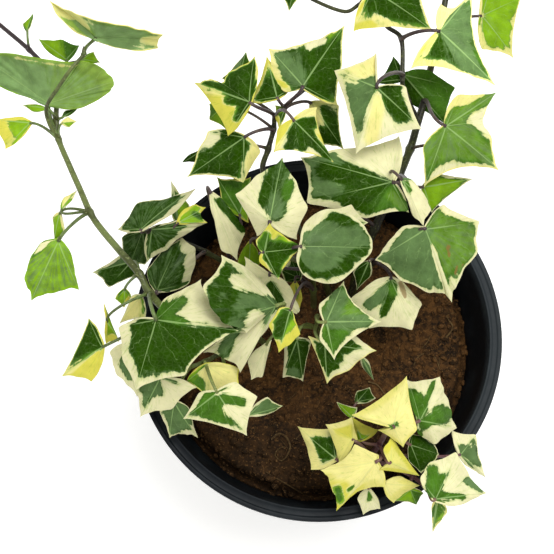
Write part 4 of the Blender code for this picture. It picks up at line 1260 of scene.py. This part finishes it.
# Right back shoot
marks("h8", "m m m m m", "c", 0.04, 0.9)
marks("h1", "d d d d d", "c", 0.04, 0.8)
marks("t7", "m m m m", "c", 0.1, 1.0)
marks("t1", "ms5 ds9 d d d", "y", 0.03, 1.0, ("s", (23, 181), (33, 185), 4.3),
      ("d", (34, 204), (33, 194), 1.6), ("y", (36, 191), (46, 186), 1.6))
marks("t2", "ms6 dy8 g gm8 g gy7 y y", "y", 0.02, 1.5, ("x", (71, 178), (65, 167), 1.6))
marks("t3", "l l l l l", "y", 0.1, 0.88)
marks("t4", "d d m m m", "y", 0.0, 0.95)
marks("t5", "d d d", "y", 0.0, 0.85)
marks("t6", "m d m m", "y", 0.03, 0.8)
marks("r1", "p p pc8 pc9 p pc7 pc5 py6 py6", "y", 0.015, 1.0, ("p", (77, 123), (103, 140), 3.2),
      ("c", (97, 123), (103, 118), 3.2))
marks("r2", "l l lc8 l", "c", 0.03, 0.86)
marks("c1", "d dc8 c gc9 gy4 y", "c", 0.03, 1.0, ("y", (37, 137), (32, 113), 4.3),
      ("d", (44, 140), (49, 127), 4.9), ("d", (41, 141), (43, 132), 2.2))
marks("c5", "mc8 mc9 dc9 dg5 dg6 dc3 c", "c", 0.02, 1.0, ("c", (0, 75), (12, 72), 2.7),
      ("c", (17, 105), (43, 93), 4.3), ("d", (5, 94), (28, 87), 5.4), ("p", (43, 79), (49, 72), 3.2))
marks("c7", "gc5 c c c c c g", "c", 0.0, 1.0, ("m", (51, 86), (53, 82), 1.6))
# Middle back shoot
marks("h9", "d d d d d", "c", 0.03, 0.8)
marks("h3", "m m m m m", "c", 0.04, 0.7)
marks("m1", "ds5 ds4 d d d d d", "s", 0.03, 0.95, ("d", (-40, 136), (-50, 137), 2.7),
      ("d", (-42, 132), (-45, 126), 2.2))
marks("m2", "d ds8 ds6 d", "s", 0.03, 0.95)
marks("m3", "k ks6 gy7 kc9 dl8 d d ds8", "y", 0.02, 1.0, ("c", (-3, 171), (5, 175), 2.2),
      ("g", (-10, 153), (-18, 163), 4.9))
marks("m3b", "y yd3 yd5 y", "y", 0.03, 0.85)
marks("m4", "y dy5 d d d dc6 dc9", "y", 0.015, 0.95)
marks("m5", "d dg5 d d", "y", 0.03, 0.8)
marks("m6", "d d d", "y", 0.0, 0.7)
marks("m7", "l l m l", "s", 0.04, 0.75)
marks("m8", "d ds6 l l", "s", 0.05, 0.85)
marks("c2", "s s dc6 dc8 ds7 d s", "s", 0.02, 1.0, ("y", (-9, 130), (-1, 130), 3.2),
      ("d", (-11, 120), (-15, 108), 3.2), ("d", (-9, 120), (-8, 108), 2.7),
      ("d", (-9, 121), (7, 102), 2.7), ("d", (-11, 123), (-2, 121), 1.6))
# Centre shoot
marks("h2", "m m m m m", "c", 0.05, 0.6)
marks("c3", "c c c c c c c c", "c", 0.0, 0.97, ("k", (-23, 74), (-21, 94), 7.0),
      ("g", (-23, 68), (-23, 76), 3.8), ("d", (-30, 75), (-28, 86), 2.2),
      ("m", (-17, 79), (-15, 86), 2.7))
marks("c8", "gd6 gd6 gd7 gd7 gd7 g gd7 gc6 gc6", "c", 0.06, 0.85, ("c", (-5, 61), (2, 68), 3.2))
marks("c9", "s ds6 ds9 ds9 dl8 ds6 ds7 d", "s", 0.05, 0.98, ("d", (-27, 47), (-12, 49), 2.7),
      ("d", (-27, 45), (-22, 34), 2.7), ("m", (-31, 49), (-28, 56), 2.2))
marks("c10", "m gc6 gc5 g", "c", 0.06, 0.9)
marks("c14", "m ms6 ls6 ls6 ds8 ds8 ms8 m", "s", 0.03, 0.95, ("s", (-10, 0), (-18, -9), 2.2),
      ("d", (-16, 11), (-22, -1), 2.7))
marks("c15", "c c c c c c c c c", "c", 0.0, 1.22, ("d", (-25, 26), (-21, 19), 3.2))
marks("c18", "d d dc8 dc9 d", "c", 0.03, 0.7)
marks("c19", "s s ls6 s s", "s", 0.02, 0.95)
marks("g3", "l l l l", "s", 0.03, 0.6)
# Front shoot
marks("c11", "pc7 pc8 p p pc8 mc9 mc8 pc8", "c", 0.03, 1.05, ("g", (7, 8), (12, 21), 3.8),
      ("g", (8, 5), (26, 6), 3.2))
marks("c12", "d d dc8 dc6 dc8 d", "y", 0.04, 0.95, ("c", (19, 0), (26, -5), 2.7))
marks("c13", "d d dg7 dc7 d", "c", 0.06, 0.6)
marks("c16", "c c c c c", "c", 0.0, 1.3)
marks("c17", "g g g g", "c", 0.05, 0.7)
# Right shoot
marks("h6", "d d d d d", "c", 0.04, 0.7)
marks("r3", "gc6 gc8 g g g gc9 g pc8 p p pc8 pc8 p", "c", 0.015, 0.97, ("c", (65, 47), (72, 22), 1.6),
      ("c", (45, 58), (38, 48), 2.2), ("c", (48, 29), (54, 27), 1.6), ("c", (72, 23), (74, 19), 2.2),
      ("b", (73, 51), (73, 44), 1.2), ("b", (76, 34), (81, 40), 1.1))
marks("r4", "c c c c c c c", "c", 0.0, 1.0, ("g", (40, 25), (29, 16), 3.2),
      ("d", (41, 21), (36, 11), 2.2), ("m", (41, 28), (42, 22), 2.2), ("b", (46, 28), (48, 21), 1.6))
marks("r5", "d d d d", "c", 0.06, 0.7)
# Long left shoot
marks("h4", "m m m m m m", "c", 0.04, 0.7)
marks("l8", "m m m m", "c", 0.1, 1.0)
marks("d1", "m mc5 mc3 d d dc9 dc8 dc7 dc7 dc9", "c", 0.022, 1.0, ("c", (-66, 24), (-50, 8), 4.9),
      ("m", (-84, 12), (-75, 17), 3.8), ("m", (-86, 10), (-74, 6), 2.2), ("d", (-75, 1), (-45, 1), 1.6))
marks("e1", "s s d d", "s", 0.02, 0.95)
marks("e2", "s l ls6 s", "s", 0.03, 0.9)
marks("e3", "m ls6 l m", "s", 0.03, 0.9)
marks("e4", "l y y l", "c", 0.05, 0.8)
marks("f1", "d d d gc7 g", "c", 0.02, 0.7)
marks("l5", "q q q q q q qc5 qc5", "l", 0.012, 1.2)
marks("n1", "y l l y", "c", 0.05, 1.0)
marks("n2", "l y l", "c", 0.05, 1.0)
marks("l4", "ls3 ls5 ls6 l", "s", 0.03, 1.1)
marks("b1", "y l y y", "c", 0.05, 1.0)
marks("b2", "m d m", "c", 0.05, 0.7)
marks("b3", "l l l", "c", 0.05, 0.9)
marks("l2", "g g g g g gy9 py9 py9 pl8 pl8 pl9 p p", "l", 0.008, 1.1)
marks("l1", "gl6 ly3 gm8 gl9 gy7 g", "y", 0.01, 1.2, ("y", (-154, 199), (-144, 192), 3.8))
marks("l3", "l l m m", "s", 0.0, 0.95)
marks("l7", "l l l", "c", 0.05, 0.9)
marks("l6", "m l m", "c", 0.05, 0.9)
# Left shoot
marks("h5", "d d d d d d", "c", 0.04, 0.6)
marks("d2", "gc4 gd5 gc8 gc9 g g gc7 gc6 gc4 c gc3", "c", 0.02, 0.88, ("c", (-30, 24), (-44, 29), 4.3),
      ("g", (-26, 15), (-39, 16), 4.3), ("k", (-37, 11), (-51, 8), 3.8),
      ("d", (-58, 23), (-56, 10), 3.2), ("c", (-37, -3), (-34, 8), 4.9),
      ("g", (-45, 4), (-51, -11), 3.2), ("d", (-47, 19), (-53, 8), 2.7))
marks("d3", "mc6 c c mc9 mc7 mc7", "c", 0.03, 1.0, ("m", (-52, -36), (-41, -38), 2.7),
      ("c", (-49, -41), (-37, -52), 1.6))
marks("d4", "g g g", "c", 0.06, 0.85)
marks("d5", "y y y ym5 ml5", "s", 0.02, 0.95)
marks("d6", "gc6 c gc5 gc8 g", "c", 0.03, 1.0)
marks("d7", "g g gc8 g gc8 g", "c", 0.04, 0.85)
marks("d8", "c gc5 c c", "c", 0.0, 1.1, ("g", (-105, -18), (-101, -24), 2.2))
# Left back shoot
marks("f2", "k k k kc7", "c", 0.04, 0.68)
marks("f3", "k k k k k k", "c", 0.02, 0.6)
marks("f4", "k kc8 kc8 kc7 kc6 k k", "c", 0.03, 0.72)
marks("f5", "l g l l", "c", 0.05, 0.75)
marks("f6", "k kc7 kc7 kc8 k k k", "c", 0.02, 0.58)
marks("f7", "ls6 ls6 l ls6 l ls5 s", "s", 0.04, 0.95, ("d", (-68, 68), (-64, 66), 1.6))
marks("g1", "c c c c c c", "c", 0.02, 0.95, ("d", (-54, 75), (-41, 59), 2.4))
marks("g2", "l m m l l", "s", 0.03, 0.8)
# Young shoot
marks("y1", "yx8 yx7 yx9 yx8 yx7 yx6", "c", 0.0, 1.05, ("m", (41, -50), (39, -51), 1.4))
marks("y2", "mc6 mc7 c c mc8 c c c", "c", 0.05, 1.0, ("m", (49, -35), (54, -43), 4.3),
      ("m", (56, -42), (62, -28), 1.4), ("m", (56, -50), (65, -45), 2.7),
      ("m", (64, -43), (69, -44), 3.2), ("m", (52, -57), (53, -55), 2.2))
marks("y3", "yx8 yx6 ys7 ys6 yx8 y y y yx8", "c", 0.0, 1.02, ("m", (11, -89), (10, -84), 2.2),
      ("m", (16, -84), (17, -83), 1.1))
marks("y4", "x x sy7 x x", "c", 0.0, 0.95)
marks("y5", "y dy6 dy7 d", "y", 0.03, 0.85)
marks("y6", "ls4 ls5 ls3 ls6", "s", 0.03, 0.72)
marks("y7", "x xs6 xs7 xs6 x", "c", 0.0, 0.97)
marks("y8", "yx6 yx5 yx5 y", "c", 0.0, 0.92)
marks("y9", "d d dc9 d d dc9 d d", "c", 0.02, 0.8)
marks("y10", "mc7 mc7 mc6 c c mc6", "c", 0.06, 1.05, ("m", (60, -85), (60, -74), 3.2),
      ("m", (63, -87), (75, -88), 1.6), ("g", (78, -80), (85, -84), 2.2))
marks("y11", "c gc5 g gc8 c", "c", 0.08, 1.05)
marks("y12", "m ml7 m m", "y", 0.06, 1.0)
marks("y13", "c mc5 c c", "c", 0.05, 0.95)
marks("y14", "l m l l", "c", 0.06, 0.85)
marks("y15", "l l l", "c", 0.05, 0.75)
marks("y16", "d d d d", "c", 0.05, 0.7)
print("leaves with notes:", len(MARKS))

# %% [markdown]
# ## Blade outline
# The edge between two points sags towards the foot, and on both sides of the heel it bulges out. This is
# the outline of the solid model with more points along it, so both have one silhouette.

# %% Blade outline
EDGE_SAG = 0.10
HEEL_BULGE = 0.10
HEEL = 0.0015
WIDE_ANGLE = math.radians(60)
EDGE_STEP = 0.0013
LEAST_STEPS = 3
TIP_PINCH = 0.030
TIP_LENGTH = 0.09
RAGGED = 0.010
RAGGED_LENGTH = 0.004
BLUNT_ANGLE = math.radians(128)
SHARP_RANGE = math.radians(38)
SOFTEN_TURNS = 5
SOFTEN_SIZE = 0.055


def blade_axis(foot, tips):
    """The way a blade points: from its foot to the middle of its tips."""
    middle = sum(tips, Vector()) / len(tips)
    return (middle - foot).normalized()


def sharpness(foot, tips):
    """1 for a tip that ends a lobe, 0 for a blunt shoulder, from the angle of the outline there."""
    heel = foot - blade_axis(foot, tips) * HEEL
    corners = [heel, *tips, heel]
    values = []
    for before, tip, after in zip(corners, tips, corners[2:]):
        angle = (before - tip).angle(after - tip)
        values.append(min(1, max(0, (BLUNT_ANGLE - angle) / SHARP_RANGE)))
    return values


def blade_edge(foot, tips, rounded):
    """Points round a blade's edge, each with the stretch it lies on and its share of that stretch."""
    axis = blade_axis(foot, tips)
    heel = foot - axis * HEEL
    corners = [heel, *tips]
    sharp = [0, *sharpness(foot, tips), 0]
    if rounded:
        longest = max((end - start).length for start, end in zip(corners, [*tips, heel]))
        steps = max(LEAST_STEPS, round(longest / EDGE_STEP))
        curve = smooth(corners, steps, closed=True)
        return [(point, number // steps, number % steps / steps) for number, point in enumerate(curve)]
    edge = []
    for stretch, (start, end) in enumerate(zip(corners, [*tips, heel])):
        far = start if end is heel else end
        along = (far - foot).normalized()
        outward = (axis.dot(along) * along - axis).normalized()
        opening = (start - foot).angle(end - foot)
        by_heel = start is heel or end is heel
        steps = max(LEAST_STEPS, round((end - start).length / EDGE_STEP))
        sag = EDGE_SAG * min(1, opening / WIDE_ANGLE)
        for step in range(steps):
            u = step / steps
            rise = 4 * u * (1 - u)
            point = start.lerp(end, u)
            if by_heel:
                point += outward * HEEL_BULGE * (far - foot).length * rise
            else:
                point = foot + (point - foot) * (1 - sag * rise)
            size = (far - foot).length
            inward = pinch((point - start).length, size) * sharp[stretch]
            inward += pinch((point - end).length, size) * sharp[stretch + 1]
            uneven = RAGGED * rise * noise.noise(point / RAGGED_LENGTH)
            point = foot + (point - foot) * (1 - inward + uneven)
            edge.append((point, stretch, u))
    return soften(edge, sharp, min(1, max((tip - foot).length for tip in tips) / SOFTEN_SIZE))


def pinch(away, size):
    """How far the edge is drawn in beside a tip, so that the tip ends in a fine point."""
    share = away / (size * TIP_LENGTH)
    return TIP_PINCH * share * math.exp(1 - share)


def soften(edge, sharp, strength):
    """Rounds the shoulders of the outline, less on a small blade, and leaves its sharp tips as they are."""
    points = [point for point, stretch, u in edge]
    blunt = [1 - (sharp[stretch] * (1 - u) + sharp[stretch + 1] * u) for point, stretch, u in edge]
    for number, (point, stretch, u) in enumerate(edge):
        if u == 0 and (stretch == 0 or sharp[stretch] > 0):
            blunt[number] = 1 - sharp[stretch] if stretch else 0
    for turn in range(SOFTEN_TURNS):
        before, after = [points[-1], *points[:-1]], [*points[1:], points[0]]
        points = [
            point.lerp((left + right) / 2, 0.5 * strength * share)
            for point, left, right, share in zip(points, before, after, blunt)
        ]
    return [(point, stretch, u) for point, (_, stretch, u) in zip(points, edge)]


print("one point of edge every", EDGE_STEP / MM, "mm")

# %% [markdown]
# ## Blade net
# Every blade starts as the same thing: a disc with rings, made from one circle that is inset again and
# again. The disc's middle becomes the foot, its spokes run to the edge points, and its rings are pulled
# into the outline, a little closer together towards the margin.

# %% Blade net
RINGS = 10
SAMPLE_SPOKES = 40
NETS = {}


def blade_net(count):
    """A disc of rings, with the spoke and ring of each of its points. It is made once for each count."""
    if count not in NETS:
        disc = fresh(bpy.ops.mesh.primitive_circle_add, f"net_{count}", vertices=count, radius=1,
                     fill_type="NGON")
        pick_faces(disc, lambda face: True)
        step = math.cos(math.pi / count) / RINGS
        for ring in range(RINGS - 1):
            bpy.ops.mesh.inset(thickness=step)
        bpy.ops.mesh.poke()
        bpy.ops.object.mode_set(mode="OBJECT")
        if disc.data.polygons[0].normal.z < 0:
            disc.data.flip_normals()
        places = np.array([corner.co[:] for corner in disc.data.vertices])
        first = math.atan2(places[0, 1], places[0, 0])
        turns = np.arctan2(places[:, 1], places[:, 0]) - first
        spokes = np.round(turns * count / math.tau).astype(int) % count
        rings = np.round(np.hypot(places[:, 0], places[:, 1]) * RINGS).astype(int)
        mesh = disc.data
        bpy.data.objects.remove(disc)
        NETS[count] = (mesh, spokes, rings)
    return NETS[count]


sample_net = blade_net(SAMPLE_SPOKES)[0]
print("a net of", SAMPLE_SPOKES, "spokes has", len(sample_net.vertices), "points")

# %% [markdown]
# ## Veins and markings as numbers
# Each point of a blade gets its distance from the nearest main vein, its place in the herringbone of side
# veins, its distance from the edge, and the mix of colours from the notes. Distances are taken on the flat
# blade, as if it were pressed.

# %% Veins and markings
LETTERS = {
    "d": (0, 0, 0), "m": (0, 0, 0.4), "p": (0, 0.58, 0.7), "q": (0, 0.55, 1.0), "l": (0, 0, 0.9),
    "k": (0, 0.52, 0.05), "g": (0, 1, 0.1),
    "c": (1, 0, 0), "y": (1, 0, 0.8), "x": (1, 0, 1.2), "s": (1, 0, 1.6),
}
SIDE_VEIN_LEAN = 1.19
SIDE_VEIN_GAP = 0.0030
SIDE_VEINS = 5
STREAK_WIDTH = 0.0025
STREAK_LENGTH = 1.6
STREAK_SHIFT = 10
SOFT = 0.12
SECTOR_BLEND = 0.35
USUAL_START = 0.5
STROKE_EDGE = 1.5
LOBE_SHARPNESS = 0.2
NO_LENGTH = 1e-9


def ease(value):
    value = np.clip(value, 0, 1)
    return value * value * (3 - 2 * value)


def to_lines(points, starts, ends):
    """Distance of each point from each straight line, and how far along the line its foot lies."""
    runs = ends - starts
    lengths = np.maximum(np.linalg.norm(runs, axis=1), NO_LENGTH)
    ways = runs / lengths[:, None]
    offsets = points[:, None, :] - starts[None, :, :]
    along = np.clip(np.einsum("plk,lk->pl", offsets, ways), 0, lengths[None, :])
    away = np.linalg.norm(offsets - along[:, :, None] * ways[None, :, :], axis=2)
    return away, along


def vein_tips(foot, tips):
    """The tips that a main vein runs to: the sharp ones and the one that is farthest off."""
    farthest = max(tips, key=lambda tip: (tip - foot).length)
    return [
        tip for tip, sharp in zip(tips, sharpness(foot, tips))
        if sharp > LOBE_SHARPNESS or tip is farthest
    ]


def sector_colours(sectors, stretch, share, reach):
    """The mix of each point from the notes on its stretch of edge and on the next ones."""
    def mix_of(numbers):
        inner = np.empty((len(numbers), 3))
        outer = np.empty((len(numbers), 3))
        start = np.empty(len(numbers))
        for number, note in enumerate(sectors):
            here = numbers == number
            inner[here] = LETTERS[note[0]]
            outer[here] = LETTERS[note[1] if len(note) > 1 else note[0]]
            start[here] = int(note[2]) / 10 if len(note) > 2 else USUAL_START
        part = ease((reach - start + SOFT) / (2 * SOFT))
        return inner + (outer - inner) * part[:, None]

    count = len(sectors)
    before = 0.5 - 0.5 * ease(share / SECTOR_BLEND)
    after = 0.5 - 0.5 * ease((1 - share) / SECTOR_BLEND)
    own = 1 - before - after
    return (
        mix_of(stretch) * own[:, None]
        + mix_of((stretch - 1) % count) * before[:, None]
        + mix_of((stretch + 1) % count) * after[:, None]
    )


def on_rim_plane(points):
    """Where the eye sees each point on the plane of the rim, in millimetres."""
    eye = np.array(RIM_MIDDLE + EYE)
    drop = (eye[2] - POT_HEIGHT) / (eye[2] - points[:, 2])
    return ((eye + (points - eye) * drop[:, None])[:, :2]) / MM


def paint(colours, points, strokes):
    """Brush strokes over the mix: cream, grey, young and, in the last column, scarred."""
    seen_at = on_rim_plane(points)
    for letter, start, end, radius in strokes:
        away, along = to_lines(seen_at, np.array([start], float), np.array([end], float))
        weight = np.clip(STROKE_EDGE - away[:, 0] / radius, 0, 1)[:, None]
        if letter == "b":
            colours[:, 3:] = np.maximum(colours[:, 3:], weight)
        else:
            colours[:, :3] += (np.array(LETTERS[letter]) - colours[:, :3]) * weight
    return colours


print("letters:", ", ".join(LETTERS))

# %% [markdown]
# ## Blade
# The blade's surface rises from the foot, arches and comes down at the margin. It is creased along each
# main vein, and its margin waves a little between the points. The thickness comes last, for all blades of
# a shoot together, and thins out towards the edge.

# %% Blade
BLADE_THICKNESS = 0.0009
EDGE_THINNING = 0.45
EDGE_ANGLE = math.radians(50)
BLADE_ARCH = 0.07
CREASE = 0.034
CREASE_WIDTH = 0.060
WAVE = 0.030
WAVES = 1.5
WAVE_TURN = 2.399
RING_CLOSENESS = 0.8
PAINTED_SHADING_SHARE = 0.8
MARGIN_SHARE = 0.62
MARGIN_USUAL = 0.75
MARGIN_SWING = 1.9
MARGIN_LENGTH = 0.011
MARGIN_DETAIL = 0.6
MARGIN_DETAIL_LENGTH = 0.004
MARGIN_LEAST = 0.12
MARGIN_MOST = 2.2


def margin_widths(arms, seed):
    """How wide the pale margin is at each point of the edge, as a share: here nothing, there double."""
    widths = []
    for arm in arms:
        place = Vector(arm)
        broad = noise.noise(place / MARGIN_LENGTH + Vector((seed, 0, 0)))
        swell = broad + MARGIN_DETAIL * noise.noise(place / MARGIN_DETAIL_LENGTH)
        widths.append(min(MARGIN_MOST, max(MARGIN_LEAST, MARGIN_USUAL + MARGIN_SWING * swell)))
    return np.array(widths)


def open_fan(plan, foot, tips):
    """The arms from a blade's foot to its edge, the stretch and share of each, and the way it faces."""
    edge = blade_edge(foot, tips, plan.rounded)
    arms = np.array([point - foot for point, stretch, share in edge])
    stretches = np.array([stretch for point, stretch, share in edge])
    shares = np.array([share for point, stretch, share in edge])
    face = np.cross(arms, np.roll(arms, -1, axis=0))[:-1].sum(axis=0)
    face /= np.linalg.norm(face)
    if (face @ np.array(RIM_MIDDLE + EYE - foot) > 0) == plan.under:
        return arms[::-1], stretches[::-1], shares[::-1], -face
    return arms, stretches, shares, face


def blade_lift(arm_length, reach, share, away, seed):
    """How far each point rises from the flat blade: its arch, its creases and its waving margin."""
    size = arm_length.max()
    lift = BLADE_ARCH * arm_length * 4 * reach * (1 - reach)
    lift -= CREASE * size * np.exp(-(away / (CREASE_WIDTH * size)) ** 2) * np.sin(math.pi * reach)
    free = np.sin(math.pi * share) ** 2
    wave = np.sin(math.tau * (share * WAVES) + seed * WAVE_TURN)
    return lift + WAVE * arm_length * free * wave * reach ** 3


def to_ribs(flat, ribs):
    """How far each point is from the nearest main vein, and how far along that vein."""
    away, along = to_lines(flat, np.zeros_like(ribs), ribs)
    nearest = away.argmin(axis=1)
    every = np.arange(len(flat))
    return away[every, nearest], along[every, nearest]


def make_blade(name, plan, seed):
    """One blade: a net pulled into its outline and shaped, with the numbers for its markings."""
    foot = seen(plan.foot)
    tips = [seen(tip) for tip in plan.tips]
    arms, stretches, shares, face = open_fan(plan, foot, tips)
    net, at_spoke, at_ring = blade_net(len(arms))
    reach = (at_ring / RINGS) ** RING_CLOSENESS
    arm, share = arms[at_spoke], shares[at_spoke]
    flat = arm * reach[:, None]
    arm_length = np.linalg.norm(arm, axis=1)
    size = arm_length.max()
    away, along = to_ribs(flat, np.array([tip - foot for tip in vein_tips(foot, tips)]))
    from_edge = to_lines(flat, arms, np.roll(arms, -1, axis=0))[0].min(axis=1)
    lift = blade_lift(arm_length, reach, share, away, seed)
    points = np.array(foot) + flat + face * lift[:, None]
    points[:, 2] = np.minimum(points[:, 2], cad_box[1][2] - BLADE_THICKNESS)

    sectors, rim, margin, shade, strokes = MARKS[plan.name]
    colours = np.zeros((len(points), 4))
    colours[:, :3] = sector_colours(sectors, stretches[at_spoke], share, reach)
    if margin:
        width = margin_widths(arms, seed)[at_spoke] * MARGIN_SHARE * margin * size
        pale_edge = np.clip(1 - from_edge / (2 * width), 0, 1)[:, None]
        colours[:, :3] += (np.array(LETTERS[rim]) - colours[:, :3]) * pale_edge
    colours = paint(colours, points, strokes)
    gap = max(SIDE_VEIN_GAP, size / SIDE_VEINS)
    veins = np.stack([away / MM, (along - SIDE_VEIN_LEAN * away) / gap, from_edge / MM], axis=1)
    turn = at_spoke * math.tau / len(arms)
    ring = size / 2 / STREAK_WIDTH
    outwards = reach * STREAK_LENGTH + seed * STREAK_SHIFT
    streak = np.stack([ring * np.cos(turn), ring * np.sin(turn), outwards], axis=1)

    mesh = net.copy()
    mesh.name = name
    mesh.vertices.foreach_set("co", points.astype(np.float32).ravel())
    write_numbers(mesh, "marks", "FLOAT_COLOR", "color", colours)
    write_numbers(mesh, "veins", "FLOAT_VECTOR", "vector", veins)
    write_numbers(mesh, "streak", "FLOAT_VECTOR", "vector", streak)
    write_numbers(mesh, "reach", "FLOAT", "value", reach)
    # Painted shading: the whole leaf lighter or darker for how the light falls on it
    write_numbers(mesh, "shade", "FLOAT", "value", np.full(len(points), 1 + (shade - 1) * PAINTED_SHADING_SHARE))
    piece = bpy.data.objects.new(name, mesh)
    bpy.context.scene.collection.objects.link(piece)
    thin = piece.vertex_groups.new(name="thickness")
    for ring_number in range(RINGS + 1):
        here = np.flatnonzero(at_ring == ring_number).tolist()
        thin.add(here, 1 - EDGE_THINNING * (ring_number / RINGS) ** 3, "REPLACE")
    return piece


def write_numbers(mesh, name, kind, field, values):
    layer = mesh.attributes.new(name, kind, "POINT")
    layer.data.foreach_set(field, values.astype(np.float32).ravel())


def thicken(piece):
    skin = piece.modifiers.new("thickness", "SOLIDIFY")
    skin.thickness = BLADE_THICKNESS
    skin.offset = 0
    skin.vertex_group = "thickness"
    skin.material_offset = 1
    skin.use_quality_normals = True
    apply_all(piece)
    only(piece)
    bpy.ops.object.shade_smooth_by_angle(angle=EDGE_ANGLE)


print("blade tools ready")

# %% [markdown]
# ## Stems and stalks
# A stem thickens a little where a leaf joins it, and has a bud in that joint. Stalks flare at both ends,
# where they meet the stem and the blade. They follow the solid model's lines with more points.

# %% Stems and stalks
HOLE_DEPTH = 0.022
CLEARANCE = 0.0003
STALK_RADIUS = 0.0008
STALK_END_RADIUS = 0.0005
STALK_GROWTH = 0.008
STALK_MOST = 0.0004
STALK_RISE = 0.25
STALK_LEAN = 0.15
STALK_ARRIVAL = 0.35
STALK_DROOP = 0.10
STALK_FLARE = 0.55
FOOT_FLARE = 0.25
FLARE_LENGTH = 0.002
STEM_STEPS = 9
STEM_SIDES = 12
STALK_STEPS = 14
STALK_SIDES = 8
KNOT = 0.30
KNOT_LENGTH = 0.0016
BUD_LENGTH = 0.0045
BUD_RADIUS = 0.0011
BUD_TIP_RADIUS = 0.00015
BUD_SHARES = (0, 0.3, 0.55, 0.75, 0.9, 1)
BUD_UPWARDS = 0.8


def route_points(shoot, number):
    """Where a route runs. The first stands in its hole and rises straight out of the soil."""
    places = [seen(place) for place in shoot.routes[number].places]
    if number > 0:
        return places
    right, back = (value * MM for value in shoot.hole)
    foot = Vector((right, back, SOIL_TOP - HOLE_DEPTH + CLEARANCE))
    collar = Vector((right, back, SOIL_TOP + SOIL_LUMP))
    return [foot, collar, *places]


def stem_line(shoot, number):
    """A stem as points with radii, swollen at its joints."""
    plan = shoot.routes[number]
    places = route_points(shoot, number)
    last = len(places) - 1
    joints = [seen(plan.places[leaf.joint[1]]) for leaf in shoot.leaves if leaf.joint[0] == number]
    line = []
    for index, point in enumerate(smooth(places, STEM_STEPS)):
        share = index / STEM_STEPS / last
        radius = plan.base_radius + (plan.tip_radius - plan.base_radius) * share
        near = min(((point - joint).length for joint in joints), default=1.0)
        radius *= 1 + KNOT * math.exp(-(near / KNOT_LENGTH) ** 2)
        line.append((point, radius))
    return line


def stalk_line(shoot, plan):
    """A leaf stalk: up out of the stem and into the foot of the blade from behind."""
    number, place = plan.joint
    start = seen(shoot.routes[number].places[place])
    foot = seen(plan.foot)
    axis = blade_axis(foot, [seen(tip) for tip in plan.tips])
    reach = (foot - start).length
    growth = min(STALK_MOST, STALK_GROWTH * max((seen(tip) - foot).length for tip in plan.tips))
    up = Vector((0, 0, 1))
    leaving = start + up * reach * STALK_RISE + (foot - start) * STALK_LEAN
    arriving = foot - axis * reach * STALK_ARRIVAL - up * reach * STALK_DROOP
    line = []
    for step in range(STALK_STEPS + 1):
        u = step / STALK_STEPS
        point = (
            start * (1 - u) ** 3 + leaving * 3 * u * (1 - u) ** 2
            + arriving * 3 * u ** 2 * (1 - u) + foot * u ** 3
        )
        radius = STALK_RADIUS + (STALK_END_RADIUS - STALK_RADIUS) * u + growth
        by_stem = STALK_FLARE * math.exp(-(u * reach / FLARE_LENGTH) ** 2)
        by_blade = FOOT_FLARE * math.exp(-((1 - u) * reach / FLARE_LENGTH) ** 2)
        radius *= 1 + by_stem + by_blade
        point.z = min(point.z, cad_box[1][2] - radius)
        line.append((point, radius))
    return line


def bud_line(shoot, plan):
    """A bud in the joint: a short pointed tube between the stalk and the stem."""
    stalk = stalk_line(shoot, plan)
    start = stalk[0][0]
    way = (stalk[3][0] - start).normalized()
    lean = (way + Vector((0, 0, BUD_UPWARDS))).normalized()
    return [(start + lean * BUD_LENGTH * u, BUD_RADIUS * (1 - u ** 2) + BUD_TIP_RADIUS) for u in BUD_SHARES]


print("stem tools ready")

# %% [markdown]
# ## Grow the shoots
# Each shoot becomes three pieces that stand for its solid: blades, stalks and stem.

# %% Grow the shoots
FINISHES = {
    "shoot_right_back": (STEM_PURPLE, STALK_PURPLE),
    "shoot_middle_back": (STEM_PURPLE, STALK_PURPLE),
    "shoot_centre": (STEM_OLIVE, STALK_PURPLE),
    "shoot_front": (STEM_OLIVE, STALK_GREEN),
    "shoot_right": (STEM_PURPLE, STALK_PURPLE),
    "shoot_long_left": (STEM_AGEING, STALK_OLIVE),
    "shoot_left": (STEM_OLIVE, STALK_GREEN),
    "shoot_left_back": (STEM_PURPLE, STALK_PURPLE),
    "shoot_young": (STEM_ROSY, STEM_ROSY),
}


def stand_for(piece, node):
    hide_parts(node)
    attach(piece, "root")


def grow(shoot, first_seed):
    stem_finish, stalk_finish = FINISHES[shoot.name]
    blades = [make_blade(f"{shoot.name}_{plan.name}", plan, first_seed + number)
              for number, plan in enumerate(shoot.leaves)]
    only(*blades)
    if len(blades) > 1:
        bpy.ops.object.join()
    leaves = bpy.context.object
    leaves.name = f"{shoot.name}_leaves"
    leaves.data.name = leaves.name
    leaves.data.materials.clear()
    settle(leaves, LEAF_UPPER, LEAF_UNDER)
    thicken(leaves)
    stalk_lines = [stalk_line(shoot, plan) for plan in shoot.leaves]
    stalks = tubes(f"{shoot.name}_stalks", stalk_lines, STALK_SIDES, stalk_finish)
    stem_lines = [stem_line(shoot, number) for number in range(len(shoot.routes))]
    stem_lines += [bud_line(shoot, plan) for plan in shoot.leaves]
    stem = tubes(f"{shoot.name}_stem", stem_lines, STEM_SIDES, stem_finish)
    for piece in (leaves, stalks, stem):
        stand_for(piece, shoot.name)
    return leaves, stalks, stem


seed = 1
for shoot in SHOOTS:
    pieces = grow(shoot, seed)
    seed += len(shoot.leaves)
    print(shoot.name, [count_triangles(piece) for piece in pieces])
for mesh, *_ in NETS.values():
    bpy.data.meshes.remove(mesh)
